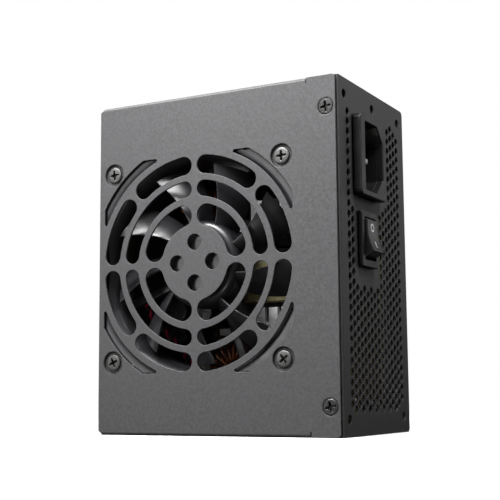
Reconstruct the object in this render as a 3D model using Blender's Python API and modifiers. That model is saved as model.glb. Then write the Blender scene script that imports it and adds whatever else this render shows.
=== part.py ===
"""Small form factor computer power supply (SFX, 125 x 100 x 63.5 mm), standing on its narrow side.

Case coordinates, used for every place below: X runs from the cable end (0) to the mains end (DEPTH), Y from
the fan face (0) to the base plate (THICKNESS), Z up from the side it stands on (0) to WIDTH. An empty holds
the case's corner, so that the world's origin is the middle of the side it stands on.
"""

import math

import bmesh
import bpy
from mathutils import Vector

MM = 0.001

# Case
DEPTH = 100 * MM
THICKNESS = 63.5 * MM
WIDTH = 125 * MM
SHEET = 0.8 * MM
GAP = 0.3 * MM                       # between pieces that touch
BEND = 1.2 * MM                      # outer radius of a fold
WALL_END = 88 * MM                   # the cover's side walls stop here, before the mains end
TAB_END = 98.8 * MM                  # the cover's fan face reaches further, over the rear corner
RELIEF = 0.3 * MM                    # slit between the side wall and the flat tab
TAB_CHAMFER = 1 * MM

# Fan and the grille in front of it
FAN_X = 42.3 * MM
FAN_Z = WIDTH / 2
FAN_SIZE = 80 * MM
FAN_FRONT = SHEET + GAP
FAN_BACK = FAN_FRONT + 15 * MM
FAN_SCREW = 35.75 * MM               # half of the 71.5 mm screw square
DUCT_RADIUS = 38.6 * MM
MOUTH_RADIUS = 45.5 * MM
FLARE_DEPTH = 6 * MM
FAN_SCREW_HOLE = 2.15 * MM
MOTOR_PLATE = 1.8 * MM
STRUT = (2.6 * MM, 3.2 * MM)         # depth and width
BLADES = 9
BLADE_TIP = 37.2 * MM
HUB_RADIUS = 16.3 * MM
HUB_RIM = 3 * MM                     # rounding of the hub's front edge
HUB_FRONT = FAN_FRONT + 1.5 * MM
HUB_DEPTH = 10 * MM
HUB_WALL = 1.5 * MM
BLADE_Y = (3.4 * MM, 12 * MM)        # leading and trailing edge
BLADE_TURN = 14.5                    # degrees, middle of the first blade at the hub
BLADE_HALF_ANGLE = 10.5              # degrees
BLADE_SWEEP = 16                     # degrees from hub to tip
BLADE_CAMBER = 0.9 * MM
BLADE_THICKNESS = 1.1 * MM
STRUTS = (20, 110, 200, 290)         # degrees
SPOKE = 2.2 * MM
RING_SLOTS = (                       # inner radius, outer radius, number of slots
    (14.0 * MM, 22.0 * MM, 4),
    (24.5 * MM, 30.5 * MM, 4),
    (32.9 * MM, 39.8 * MM, 8),
)
CORNER_SLOT = (42.3 * MM, 45.9 * MM, 40 * MM)   # inner radius, outer radius, flat clip from the middle
HUB_HOLE_CIRCLE = 7.5 * MM
HUB_HOLE = 3 * MM

# Screws
COVER_SCREW_X = 95.5 * MM
COVER_SCREW_Z = (10.3 * MM, 113.7 * MM)
SIDE_SCREW_X = 6 * MM
SIDE_SCREW_Y = 32 * MM
HEAD_RADIUS = 2.8 * MM
HEAD_HOLE = 3.25 * MM
SHANK = 1.5 * MM
DIMPLE_RIM = 4.3 * MM                # pressed seat round each fan screw
DIMPLE_HOLE = 2.35 * MM
DIMPLE_DEPTH = 0.5 * MM

# Rear panel
REAR_FACE = DEPTH
MOUNT_HOLE = 1.7 * MM
MOUNT_HOLES = ((6, 6), (57.5, 6), (6, 119), (31.75, 119), (57.5, 119))   # Y and Z in millimetres
HEX_PITCH = 3.65 * MM
HEX_COLUMN = HEX_PITCH * math.cos(math.radians(30))
HEX_FLATS = 2.8 * MM
HEX_ORIGIN = (8.7 * MM, 11.0 * MM, 9.2 * MM)    # first column's Y, lowest Z of even and of odd columns
HEX_ROWS = (                         # first and last row of each column, from the fan side
    (0, 28), (0, 19), (0, 11), (0, 11), (0, 11), (0, 11), (0, 11), (0, 11),
    (0, 11), (0, 19), (0, 19), (0, 20), (0, 28), (0, 29), (0, 28), (1, 28),
)

# Mains inlet: a socket for a three-pole connector
INLET_Y = (12.15 * MM, 36.2 * MM)
INLET_Z = (84.2 * MM, 113.5 * MM)
INLET_FRONT = REAR_FACE + 3.5 * MM
INLET_BACK = 84.5 * MM
SOCKET_Y = (16.4 * MM, 33.0 * MM)
SOCKET_Z = (86.3 * MM, 111.0 * MM)
SOCKET_FLOOR = 88 * MM
SOCKET_CHAMFER = 5.5 * MM
SOCKET_WALL = 1.2 * MM
PIN_SPREAD = 7 * MM
LINE_PIN_Y = 22.3 * MM
EARTH_PIN_Y = 26.3 * MM
PIN_SIZE = (4 * MM, 2 * MM)          # Y and Z
PIN_TIP = 99.5 * MM
PIN_TAIL = 80 * MM

# Rocker switch
SWITCH_Y = (15.5 * MM, 30.0 * MM)
SWITCH_Z = (59.1 * MM, 79.0 * MM)
SWITCH_FRONT = REAR_FACE + 2 * MM
SWITCH_BACK = 84 * MM
ROCKER_Y = (18.0 * MM, 28.0 * MM)
ROCKER_Z = (61.8 * MM, 76.8 * MM)
ROCKER_FLOOR = 91 * MM
PIVOT_X = 99 * MM
PIVOT_Z = sum(ROCKER_Z) / 2
ROCKER_TILT = math.radians(12)       # either way from the middle
ROCKER_SKIRT = 7.15 * MM
TRUNNION = 1.2 * MM
TAB_TAIL = 77 * MM

# Circuit board
BOARD_X = (4 * MM, 92 * MM)
BOARD_Z = (4 * MM, 121 * MM)
BOARD_Y = (55.5 * MM, 57.1 * MM)
BOARD_TOP = BOARD_Y[0] - GAP         # where a component's body ends
BOARD_SCREWS = ((8, 9), (88, 9), (8, 116), (88, 116))   # X and Z in millimetres
BOSS = 3.6 * MM
SHEET_Y = (60.2 * MM, 60.6 * MM)

# Cable outlet
OUTLET_Y = 36 * MM
OUTLET_Z = 22 * MM
OUTLET_BORE = 8 * MM
OUTLET_NECK = 10.3 * MM

# How a turned piece or a cylinder lies: the way its top looks
UPWARDS = (0, 0, 0)
DOWNWARDS = (math.radians(180), 0, 0)
TOWARDS_FAN = (math.radians(90), 0, 0)
TOWARDS_BASE = (math.radians(-90), 0, 0)
TOWARDS_MAINS = (0, math.radians(90), 0)
TOWARDS_CABLES = (0, math.radians(-90), 0)

MATERIALS = {                        # colour, roughness, metallic
    "black_powder_coat": ((0.105, 0.105, 0.11), 0.55, 0.35),
    "nickel_screw": ((0.62, 0.61, 0.59), 0.3, 1.0),
    "black_plastic": ((0.018, 0.018, 0.02), 0.4, 0.0),
    "fan_plastic": ((0.03, 0.03, 0.033), 0.3, 0.0),
    "tinned_brass": ((0.72, 0.69, 0.6), 0.3, 1.0),
    "circuit_board": ((0.42, 0.33, 0.13), 0.55, 0.0),
    "clear_sheet": ((0.75, 0.76, 0.72), 0.35, 0.0),
    "aluminium": ((0.78, 0.78, 0.79), 0.32, 1.0),
    "capacitor_sleeve": ((0.03, 0.03, 0.035), 0.35, 0.0),
    "ferrite": ((0.06, 0.06, 0.062), 0.6, 0.1),
    "yellow_tape": ((0.62, 0.47, 0.16), 0.45, 0.0),
    "copper_wire": ((0.6, 0.25, 0.12), 0.35, 0.9),
    "box_capacitor": ((0.55, 0.4, 0.1), 0.5, 0.0),
    "black_epoxy": ((0.025, 0.025, 0.027), 0.5, 0.0),
    "blue_epoxy": ((0.03, 0.09, 0.35), 0.4, 0.0),
    "glass_tube": ((0.75, 0.8, 0.78), 0.1, 0.0),
    "rubber": ((0.02, 0.02, 0.02), 0.8, 0.0),
    "magnet": ((0.1, 0.1, 0.105), 0.6, 0.3),
    "steel": ((0.55, 0.55, 0.56), 0.3, 1.0),
    "white_nylon": ((0.8, 0.78, 0.72), 0.5, 0.0),
    "brown_wire": ((0.2, 0.08, 0.03), 0.5, 0.0),
    "blue_wire": ((0.04, 0.13, 0.45), 0.5, 0.0),
    "green_wire": ((0.25, 0.5, 0.05), 0.5, 0.0),
    "red_wire": ((0.6, 0.03, 0.1), 0.45, 0.0),
    "black_wire": ((0.02, 0.02, 0.02), 0.45, 0.0),
}


def start_scene():
    """Empties the scene and makes the collections and the empty at the case's corner."""
    for obj in list(bpy.data.objects):
        bpy.data.objects.remove(obj, do_unlink=True)
    collections = []
    for name in ("power_supply_unit", "cutters"):
        collection = bpy.data.collections.new(name)
        bpy.context.scene.collection.children.link(collection)
        collections.append(collection)
    corner = bpy.data.objects.new("case_corner", None)
    corner.location = (-DEPTH / 2, -THICKNESS / 2, 0)
    collections[0].objects.link(corner)
    return collections[0], collections[1], corner


PARTS, CUTTERS, CORNER = start_scene()


def add(name, data, material=None, location=(0, 0, 0), rotation=(0, 0, 0), parent=None):
    """Links an object: a part if it has a material, a hidden helper if it has none."""
    obj = bpy.data.objects.new(name, data)
    obj.location = location
    obj.rotation_euler = rotation
    obj.parent = parent or CORNER
    if material:
        PARTS.objects.link(obj)
        if not data.materials:
            data.materials.append(get_material(material))
    else:
        CUTTERS.objects.link(obj)
        obj.hide_render = True
        obj.display_type = "WIRE"
    return obj


def get_material(name):
    material = bpy.data.materials.get(name)
    if material is None:
        colour, roughness, metallic = MATERIALS[name]
        material = bpy.data.materials.new(name)
        material.use_nodes = True
        shader = material.node_tree.nodes["Principled BSDF"]
        shader.inputs["Base Color"].default_value = (*colour, 1)
        shader.inputs["Roughness"].default_value = roughness
        shader.inputs["Metallic"].default_value = metallic
        material.diffuse_color = (*colour, 1)
    return material


def exact(value):
    """Rounded to a ten-thousandth of a millimetre, so that faces meant to be flush are flush."""
    return round(value, 7)


def smooth(mesh, degrees=35):
    mesh.shade_smooth()
    mesh.set_sharp_from_angle(angle=math.radians(degrees))


def box(name, low, high, material=None, bevel=0, parent=None):
    """A block between two corners. A part has its origin in its middle, a helper on its parent's."""
    low, high = Vector(low), Vector(high)
    centre = (low + high) / 2 if material else Vector()
    mesh = bpy.data.meshes.new(name)
    shape = bmesh.new()
    bmesh.ops.create_cube(shape, size=1)
    for vert in shape.verts:
        ends = (low if side < 0 else high for side in vert.co)
        vert.co = [exact(end[axis] - centre[axis]) for axis, end in enumerate(ends)]
    shape.to_mesh(mesh)
    shape.free()
    obj = add(name, mesh, material, centre, parent=parent)
    if bevel:
        rounding = obj.modifiers.new("rounded", "BEVEL")
        rounding.width = bevel
        rounding.segments = 2
    return obj


def cylinder(name, radius, length, centre, rotation=UPWARDS, material=None, sides=16):
    mesh = bpy.data.meshes.new(name)
    shape = bmesh.new()
    bmesh.ops.create_cone(shape, cap_ends=True, segments=sides, radius1=radius, radius2=radius, depth=length)
    shape.to_mesh(mesh)
    shape.free()
    smooth(mesh)
    return add(name, mesh, material, centre, rotation)


def turned(name, profile, location, rotation=UPWARDS, material=None, steps=32, closed=False, parent=None):
    """Turns (radius, height) points about local Z. They run down the outer side, from the top."""
    mesh = bpy.data.meshes.new(name)
    points = [(radius, 0, height) for radius, height in profile]
    edges = [(i, i + 1) for i in range(len(points) - 1)]
    if closed:
        edges.append((len(points) - 1, 0))
    mesh.from_pydata(points, edges, [])
    obj = add(name, mesh, material, location, rotation, parent)
    screw = obj.modifiers.new("turn", "SCREW")
    screw.axis = "Z"
    screw.steps = screw.render_steps = steps
    screw.use_merge_vertices = True
    screw.merge_threshold = 0.00001
    screw.use_smooth_shade = True
    return obj


def arc(centre, radius, start, end, steps):
    """Points from one angle to another, in degrees, both ends included."""
    angles = (math.radians(start + (end - start) * i / steps) for i in range(steps + 1))
    return [(centre[0] + radius * math.cos(a), centre[1] + radius * math.sin(a)) for a in angles]


def circle(centre, radius, sides=16):
    return arc(centre, radius, 0, 360, sides)[:-1]


def rectangle(low, high, corner=0, steps=3):
    (x0, y0), (x1, y1) = low, high
    if not corner:
        return [(x0, y0), (x1, y0), (x1, y1), (x0, y1)]
    outline = []
    corners = ((x1 - corner, y1 - corner), (x0 + corner, y1 - corner),
               (x0 + corner, y0 + corner), (x1 - corner, y0 + corner))
    for quarter, centre in enumerate(corners):
        outline += arc(centre, corner, quarter * 90, quarter * 90 + 90, steps)
    return outline


def plate(name, outlines, axis, low, high, material=None, parent=None):
    """A flat piece between low and high along an axis: a closed outline, then the outlines of its holes.

    Outlines are in the other two axes, in the order X, Y, Z.
    """
    curve = bpy.data.curves.new(name, "CURVE")
    curve.dimensions = "2D"
    curve.fill_mode = "BOTH"
    curve.extrude = (high - low) / 2
    for outline in outlines:
        spline = curve.splines.new("POLY")
        spline.points.add(len(outline) - 1)
        for point, (x, y) in zip(spline.points, outline):
            point.co = (x, y, 0, 1)
        spline.use_cyclic_u = True
    flat = add(name, curve)
    mesh = bpy.data.meshes.new_from_object(flat.evaluated_get(bpy.context.evaluated_depsgraph_get()))
    bpy.data.objects.remove(flat)
    shape = bmesh.new()
    shape.from_mesh(mesh)
    bmesh.ops.remove_doubles(shape, verts=shape.verts, dist=0.00001)
    for vert in shape.verts:
        across, up, level = vert.co
        level = high if level > 0 else low
        across, up, level = exact(across), exact(up), exact(level)
        vert.co = {"X": (level, across, up), "Y": (across, level, up), "Z": (across, up, level)}[axis]
    if axis == "Y":
        bmesh.ops.reverse_faces(shape, faces=shape.faces)
    shape.to_mesh(mesh)
    shape.free()
    smooth(mesh)
    return add(name, mesh, material, parent=parent)


def shifted(outline, x, y):
    return [(px + x, py + y) for px, py in outline]


def boolean(obj, tool, operation):
    modifier = obj.modifiers.new(tool.name, "BOOLEAN")
    modifier.operation = operation
    modifier.solver = "EXACT"
    modifier.object = tool


def cut(obj, *tools):
    for tool in tools:
        boolean(obj, tool, "DIFFERENCE")


def join(obj, *tools):
    for tool in tools:
        boolean(obj, tool, "UNION")


def smooth_path(stops, points_each=3):
    """Points of a smooth curve through the stops (Catmull-Rom)."""
    stops = [Vector(stop) * MM for stop in stops]
    ends = [2 * stops[0] - stops[1]] + stops + [2 * stops[-1] - stops[-2]]
    path = []
    for a, b, c, d in zip(ends, ends[1:], ends[2:], ends[3:]):
        for i in range(points_each):
            t = i / points_each
            path.append(0.5 * (2 * b + (c - a) * t + (2 * a - 5 * b + 4 * c - d) * t ** 2
                               + (3 * b - a - 3 * c + d) * t ** 3))
    return path + [stops[-1]]


def wire(name, stops, radius, material):
    """A round wire along a smooth curve through stops in millimetres."""
    path = smooth_path(stops)
    curve = bpy.data.curves.new(name, "CURVE")
    curve.dimensions = "3D"
    curve.bevel_depth = radius
    curve.bevel_resolution = 2
    curve.use_fill_caps = True
    spline = curve.splines.new("POLY")
    spline.points.add(len(path) - 1)
    for point, place in zip(spline.points, path):
        point.co = (*place, 1)
    return add(name, curve, material)


# ---------------------------------------------------------------- sheet metal case

def ring_slot(inner, outer, start, end):
    """One slot of the grille between two spokes at angles start and end, its ends fully round."""
    middle = (inner + outer) / 2
    round_end = (outer - inner) / 2
    margin = math.degrees(math.asin((SPOKE / 2 + round_end) / middle))
    first, last = start + margin, end - margin
    steps = max(3, round((last - first) / 10))

    def cap(angle, turn):
        a = math.radians(angle)
        return arc((middle * math.cos(a), middle * math.sin(a)), round_end, turn, turn + 180, 5)[1:-1]

    return (arc((0, 0), outer, first, last, steps) + cap(last, last)
            + arc((0, 0), inner, last, first, steps) + cap(first, first + 180))


def corner_slot(turn):
    """The crescent in one corner of the grille, clipped flat by the fan's own outline."""
    inner, outer, clip = CORNER_SLOT
    tip = 0.6 * MM
    start = math.degrees(math.acos(clip / outer))
    tip_x = clip - tip
    tip_y = math.sqrt((inner + tip) ** 2 - tip_x ** 2)
    tip_angle = math.degrees(math.atan2(tip_y, tip_x))
    outline = arc((0, 0), outer, start, 90 - start, 4)
    outline += arc((tip_y, tip_x), tip, 90, 270 - tip_angle, 2)
    outline += arc((0, 0), inner, 90 - tip_angle, tip_angle, 6)[1:-1]
    outline += arc((tip_x, tip_y), tip, tip_angle - 180, 0, 2)
    cos, sin = math.cos(math.radians(turn)), math.sin(math.radians(turn))
    return [(x * cos - y * sin, x * sin + y * cos) for x, y in outline]


def grille_outlines():
    """Every slot and hole of the grille, round its middle."""
    outlines = []
    for inner, outer, count in RING_SLOTS:
        pitch = 360 / count
        outlines += [ring_slot(inner, outer, i * pitch, (i + 1) * pitch) for i in range(count)]
    for quarter in range(4):
        outlines.append(corner_slot(quarter * 90))
        a = math.radians(quarter * 90)
        outlines.append(circle((HUB_HOLE_CIRCLE * math.cos(a), HUB_HOLE_CIRCLE * math.sin(a)), HUB_HOLE, 12))
    return outlines


def u_section():
    """Section of the cover in Y and Z: the fan face with a side wall folded down from each edge."""
    inner = BEND - SHEET
    low = arc((BEND, BEND), BEND, 270, 180, 4)
    high = arc((BEND, WIDTH - BEND), BEND, 180, 90, 4)
    inner_high = arc((BEND, WIDTH - BEND), inner, 90, 180, 3)
    inner_low = arc((BEND, BEND), inner, 180, 270, 3)
    return ([(THICKNESS, 0)] + low + high + [(THICKNESS, WIDTH), (THICKNESS, WIDTH - SHEET)]
            + inner_high + inner_low + [(THICKNESS, SHEET)])


def side_mirror(z, top):
    return WIDTH - z if top else z


def make_cover():
    """Fan face with its grille and two side walls, and a flat tab over the mains end's corner."""
    cover = plate("cover_shell", [u_section()], "X", 0, WALL_END, "black_powder_coat")
    start = WALL_END + RELIEF
    overlap = 2 * MM
    tab_outline = [
        (WALL_END - overlap, overlap), (start, overlap), (start, 0), (TAB_END - TAB_CHAMFER, 0),
        (TAB_END, TAB_CHAMFER), (TAB_END, WIDTH - TAB_CHAMFER), (TAB_END - TAB_CHAMFER, WIDTH),
        (start, WIDTH), (start, WIDTH - overlap), (WALL_END - overlap, WIDTH - overlap),
    ]
    join(cover, plate("cover_tab", [tab_outline], "Y", 0, SHEET))
    slots = [shifted(outline, FAN_X, FAN_Z) for outline in grille_outlines()]
    cut(cover, plate("grille_slots", slots, "Y", -SHEET, 2 * SHEET))
    reach = 2 * SHEET
    dimple = [(0, reach), (DIMPLE_RIM + reach, reach), (DIMPLE_RIM, 0), (DIMPLE_HOLE, -DIMPLE_DEPTH),
              (DIMPLE_HOLE, -reach), (0, -reach)]
    for i, (x, z) in enumerate(fan_screw_places()):
        cut(cover, turned(f"fan_screw_dimple_{i}", dimple, (x, 0, z), TOWARDS_FAN, steps=16))
    for i, z in enumerate(COVER_SCREW_Z):
        place = (COVER_SCREW_X, 0, z)
        cut(cover, cylinder(f"cover_screw_hole_{i}", HEAD_HOLE, 4 * SHEET, place, TOWARDS_FAN))
    for i, top in enumerate((False, True)):
        place = (SIDE_SCREW_X, SIDE_SCREW_Y, side_mirror(0, top))
        cut(cover, cylinder(f"side_screw_hole_{i}", HEAD_HOLE, 4 * SHEET, place))


def fan_screw_places():
    return [(FAN_X + i * FAN_SCREW, FAN_Z + j * FAN_SCREW) for i in (-1, 1) for j in (-1, 1)]


def make_base_tray():
    """Base plate and cable end folded from one sheet, with flanges that take the cover's screws."""
    edge = SHEET + GAP
    shoulder = WALL_END + RELIEF
    end = REAR_FACE - SHEET - GAP
    outline = [
        (0, edge), (shoulder, edge), (shoulder, 0), (end, 0), (end, WIDTH), (shoulder, WIDTH),
        (shoulder, WIDTH - edge), (0, WIDTH - edge),
    ]
    tray = plate("base_tray", [outline], "Y", THICKNESS - SHEET, THICKNESS, "black_powder_coat")
    join(tray, box("cable_end_panel", (0, edge, edge), (SHEET, THICKNESS, WIDTH - edge)))
    for i, top in enumerate((False, True)):
        blocks = {
            "side_flange": ((0, SIDE_SCREW_Y - 7 * MM, edge), (12 * MM, SIDE_SCREW_Y + 7 * MM, edge + SHEET)),
            "rear_flange": ((shoulder, edge, 0), (end, THICKNESS, SHEET)),
            "rear_ear": ((shoulder, edge, 0), (end, edge + SHEET, 18 * MM)),
        }
        for name, ((x0, y0, z0), (x1, y1, z1)) in blocks.items():
            z0, z1 = sorted((side_mirror(z0, top), side_mirror(z1, top)))
            join(tray, box(f"{name}_{i}", (x0, y0, z0), (x1, y1, z1)))
        cut(tray, cylinder(f"side_thread_{i}", SHANK + GAP, 6 * MM, (SIDE_SCREW_X, SIDE_SCREW_Y,
                                                                     side_mirror(edge, top)), sides=16))
        cut(tray, cylinder(f"ear_thread_{i}", SHANK + GAP, 6 * MM, (COVER_SCREW_X, edge, COVER_SCREW_Z[i]),
                           TOWARDS_FAN, sides=16))
    boss_low = BOARD_Y[1] + GAP
    boss_length = THICKNESS - SHEET / 2 - boss_low
    for i, (x, z) in enumerate(BOARD_SCREWS):
        middle = (x * MM, boss_low + boss_length / 2, z * MM)
        join(tray, cylinder(f"boss_{i}", BOSS, boss_length, middle, TOWARDS_FAN, sides=16))
    for i, (x, z) in enumerate(BOARD_SCREWS):
        cut(tray, cylinder(f"boss_bore_{i}", SHANK + GAP, 20 * MM, (x * MM, THICKNESS, z * MM), TOWARDS_FAN,
                           sides=12))
    cut(tray, cylinder("outlet_hole", OUTLET_NECK + GAP, 4 * MM, (0, OUTLET_Y, OUTLET_Z), TOWARDS_MAINS,
                       sides=32))


def hexagon_outlines():
    """The rear panel's perforation: columns of hexagons, every second column half a pitch lower."""
    outlines = []
    radius = HEX_FLATS / 2 / math.cos(math.radians(30))
    first_y, even_z, odd_z = HEX_ORIGIN
    for column, (first, last) in enumerate(HEX_ROWS):
        low = odd_z if column % 2 else even_z
        for row in range(first, last + 1):
            outlines.append(circle((first_y + column * HEX_COLUMN, low + row * HEX_PITCH), radius, 6))
    return outlines


def make_rear_panel():
    """The mains end: perforated, with cut-outs for the inlet and the switch and the case's fixing holes."""
    outline = rectangle((SHEET + GAP, 0), (THICKNESS, WIDTH), 1.8 * MM)
    clear = SOCKET_WALL + GAP
    inlet_hole = rectangle((SOCKET_Y[0] - clear, SOCKET_Z[0] - clear),
                           (SOCKET_Y[1] + clear, SOCKET_Z[1] + clear))
    switch_hole = rectangle((SWITCH_Y[0] + 0.8 * MM, SWITCH_Z[0] + 1.1 * MM),
                            (SWITCH_Y[1] - 0.8 * MM, SWITCH_Z[1] - 1.1 * MM))
    fixings = [circle((y * MM, z * MM), MOUNT_HOLE, 12) for y, z in MOUNT_HOLES]
    plate("rear_panel", [outline, inlet_hole, switch_hole] + fixings + hexagon_outlines(), "X",
          REAR_FACE - SHEET, REAR_FACE, "black_powder_coat")


def add_cross_recess(screw, depth, size=3.2 * MM):
    """Cuts a Phillips recess into the screw's head, its arms narrower towards their ends."""
    half, root, tip = size / 2, 0.42 * MM, 0.3 * MM
    outline = [
        (root, root), (tip, half), (-tip, half), (-root, root), (-half, tip), (-half, -tip),
        (-root, -root), (-tip, -half), (tip, -half), (root, -root), (half, -tip), (half, tip),
    ]
    recess = plate(screw.name + "_recess", [outline], "Z", -depth, MM)
    recess.location = screw.location
    recess.rotation_euler = screw.rotation_euler
    cut(screw, recess)


def make_cover_screws():
    """Flat heads that sit flush in the sheet, on flanges a sheet below it."""
    head = [(0, 0), (HEAD_RADIUS, 0), (HEAD_RADIUS, -SHEET), (SHANK, -SHEET), (SHANK, -5 * MM), (0, -5 * MM)]
    places = [((COVER_SCREW_X, 0, z), TOWARDS_FAN) for z in COVER_SCREW_Z]
    places += [((SIDE_SCREW_X, SIDE_SCREW_Y, 0), DOWNWARDS), ((SIDE_SCREW_X, SIDE_SCREW_Y, WIDTH), UPWARDS)]
    for i, (place, rotation) in enumerate(places, 1):
        screw = turned(f"cover_screw_{i}", head, place, rotation, "nickel_screw", steps=12)
        add_cross_recess(screw, 0.5 * MM)


def make_fan_screws():
    """Self-tapping screws through the cover into the fan's corners, their heads in the pressed seats."""
    top, under, length = 0.05 * MM, 0.6 * MM, 9 * MM
    radius, neck, thread = 2.9 * MM, 1.75 * MM, 1.7 * MM
    head = [(0, -top), (radius, -top), (neck, -under), (thread, -length), (0, -length)]
    for i, (x, z) in enumerate(fan_screw_places(), 1):
        screw = turned(f"fan_screw_{i}", head, (x, 0, z), TOWARDS_FAN, "nickel_screw", steps=12)
        add_cross_recess(screw, MM)


# ---------------------------------------------------------------- mains inlet and switch

def socket_outline():
    """The connector's outline in Y and Z: a rectangle with two corners cut off on the base side."""
    (y0, y1), (z0, z1) = SOCKET_Y, SOCKET_Z
    inset, low, high = y1 - SOCKET_CHAMFER, z0 + SOCKET_CHAMFER, z1 - SOCKET_CHAMFER
    return [(y0, z0), (inset, z0), (y1, low), (y1, high), (inset, z1), (y0, z1)]


def pin_places():
    middle = sum(SOCKET_Z) / 2
    return {
        "line": (LINE_PIN_Y, middle - PIN_SPREAD),
        "neutral": (LINE_PIN_Y, middle + PIN_SPREAD),
        "earth": (EARTH_PIN_Y, middle),
    }


def make_inlet():
    """A moulded socket snapped into the rear panel, with three blade pins through its floor."""
    flange_back = REAR_FACE + GAP
    bezel = rectangle((INLET_Y[0], INLET_Z[0]), (INLET_Y[1], INLET_Z[1]), 2 * MM)
    inlet = plate("ac_inlet", [bezel], "X", flange_back, INLET_FRONT, "black_plastic")
    body = rectangle((SOCKET_Y[0] - SOCKET_WALL, SOCKET_Z[0] - SOCKET_WALL),
                     (SOCKET_Y[1] + SOCKET_WALL, SOCKET_Z[1] + SOCKET_WALL))
    join(inlet, plate("inlet_body", [body], "X", INLET_BACK, flange_back + MM))
    cut(inlet, plate("inlet_socket", [socket_outline()], "X", SOCKET_FLOOR, INLET_FRONT + 2 * MM))
    wide, tall = PIN_SIZE[0] / 2, PIN_SIZE[1] / 2
    for name, (y, z) in pin_places().items():
        cut(inlet, box(f"{name}_pin_slot", (INLET_BACK - MM, y - wide - GAP, z - tall - GAP),
                       (SOCKET_FLOOR + MM, y + wide + GAP, z + tall + GAP)))
        box(f"inlet_pin_{name}", (PIN_TAIL, y - wide, z - tall), (PIN_TIP, y + wide, z + tall),
            "tinned_brass", bevel=0.4 * MM)


def switch_tab_places():
    middle_y = sum(ROCKER_Y) / 2
    return [(middle_y, PIVOT_Z - 4.5 * MM), (middle_y, PIVOT_Z + 4.5 * MM)]


def make_switch():
    """The switch's housing snapped into the rear panel, and its two blade tabs."""
    flange_back = REAR_FACE + GAP
    housing = box("switch_housing", (flange_back, SWITCH_Y[0], SWITCH_Z[0]),
                  (SWITCH_FRONT, SWITCH_Y[1], SWITCH_Z[1]), "black_plastic")
    join(housing, box("switch_body", (SWITCH_BACK, SWITCH_Y[0] + 1.1 * MM, SWITCH_Z[0] + 1.4 * MM),
                      (flange_back + MM, SWITCH_Y[1] - 1.1 * MM, SWITCH_Z[1] - 1.4 * MM)))
    cut(housing, box("switch_well", (ROCKER_FLOOR, ROCKER_Y[0], ROCKER_Z[0]),
                     (SWITCH_FRONT + MM, ROCKER_Y[1], ROCKER_Z[1])))
    depth = 0.9 * MM + GAP
    middle_y = sum(ROCKER_Y) / 2
    cut(housing, cylinder("trunnion_hole", TRUNNION + GAP, ROCKER_Y[1] - ROCKER_Y[0] + 2 * depth - GAP,
                          (PIVOT_X, middle_y, PIVOT_Z), TOWARDS_FAN, sides=16))
    for i, (y, z) in enumerate(switch_tab_places(), 1):
        wide, thick = 2.4 * MM, 0.4 * MM
        cut(housing, box(f"switch_tab_slot_{i}", (SWITCH_BACK - MM, y - wide - GAP, z - thick - GAP),
                         (ROCKER_FLOOR + MM, y + wide + GAP, z + thick + GAP)))
        box(f"switch_tab_{i}", (TAB_TAIL, y - wide, z - thick), (ROCKER_FLOOR - MM, y + wide, z + thick),
            "tinned_brass")


def make_rocker():
    """The rocker, concave between its ends, turning on two trunnions; its lower end stands out at rest."""
    pivot = bpy.data.objects.new("rocker_pivot", None)
    pivot.parent = CORNER
    pivot.location = (PIVOT_X, sum(ROCKER_Y) / 2, PIVOT_Z)
    PARTS.objects.link(pivot)
    end_x, end_z = 5.2 * MM, 6.0 * MM
    dish_radius = 19 * MM
    dish_depth = dish_radius - math.sqrt(dish_radius ** 2 - end_z ** 2)
    half = math.degrees(math.asin(end_z / dish_radius))
    dish = arc((end_x - dish_depth + dish_radius, 0), dish_radius, 180 + half, 180 - half, 8)
    skirt = arc((0, 0), ROCKER_SKIRT, 78, 118, 4)
    outline = dish + skirt + [(x, -z) for x, z in reversed(skirt)]
    half_width = (ROCKER_Y[1] - ROCKER_Y[0]) / 2 - 0.35 * MM
    rocker = plate("switch_rocker", [outline], "Y", -half_width, half_width, "black_plastic", parent=pivot)
    rocker.rotation_euler = (0, -ROCKER_TILT, 0)
    trunnions = cylinder("rocker_trunnions", TRUNNION, 2 * half_width + 1.8 * MM, (0, 0, 0), TOWARDS_FAN,
                         sides=16)
    trunnions.parent = pivot
    join(rocker, trunnions)


# ---------------------------------------------------------------- fan

def make_fan_frame():
    """Square frame with a flared duct, and four struts that carry the motor at the back."""
    half = FAN_SIZE / 2
    outline = rectangle((FAN_X - half, FAN_Z - half), (FAN_X + half, FAN_Z + half), 4 * MM)
    frame = plate("fan_frame", [outline], "Y", FAN_FRONT, FAN_BACK, "fan_plastic")
    flare = [(DUCT_RADIUS + (MOUTH_RADIUS - DUCT_RADIUS) * (1 - math.sin(math.radians(a))),
              -FLARE_DEPTH * (1 - math.cos(math.radians(a)))) for a in (0, 45, 90)]
    through = FAN_BACK - FAN_FRONT + MM
    duct = [(0, MM), (MOUTH_RADIUS, MM)] + flare + [(DUCT_RADIUS, -through), (0, -through)]
    cut(frame, turned("fan_duct", duct, (FAN_X, FAN_FRONT, FAN_Z), TOWARDS_FAN, steps=48))
    for i, (x, z) in enumerate(fan_screw_places()):
        place = (x, FAN_FRONT, z)
        cut(frame, cylinder(f"fan_frame_hole_{i}", FAN_SCREW_HOLE, 3 * through, place, TOWARDS_FAN, sides=16))
    middle = (FAN_X, FAN_BACK - MOTOR_PLATE / 2, FAN_Z)
    join(frame, cylinder("motor_plate", HUB_RADIUS, MOTOR_PLATE, middle, TOWARDS_FAN, sides=32))
    reach = (HUB_RADIUS - 2 * MM, DUCT_RADIUS + MM)
    for i, degrees in enumerate(STRUTS):
        axis = fan_axis(f"strut_axis_{i}", degrees)
        join(frame, box(f"fan_strut_{i}", (reach[0], FAN_BACK - STRUT[0], -STRUT[1] / 2),
                        (reach[1], FAN_BACK, STRUT[1] / 2), parent=axis))


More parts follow.
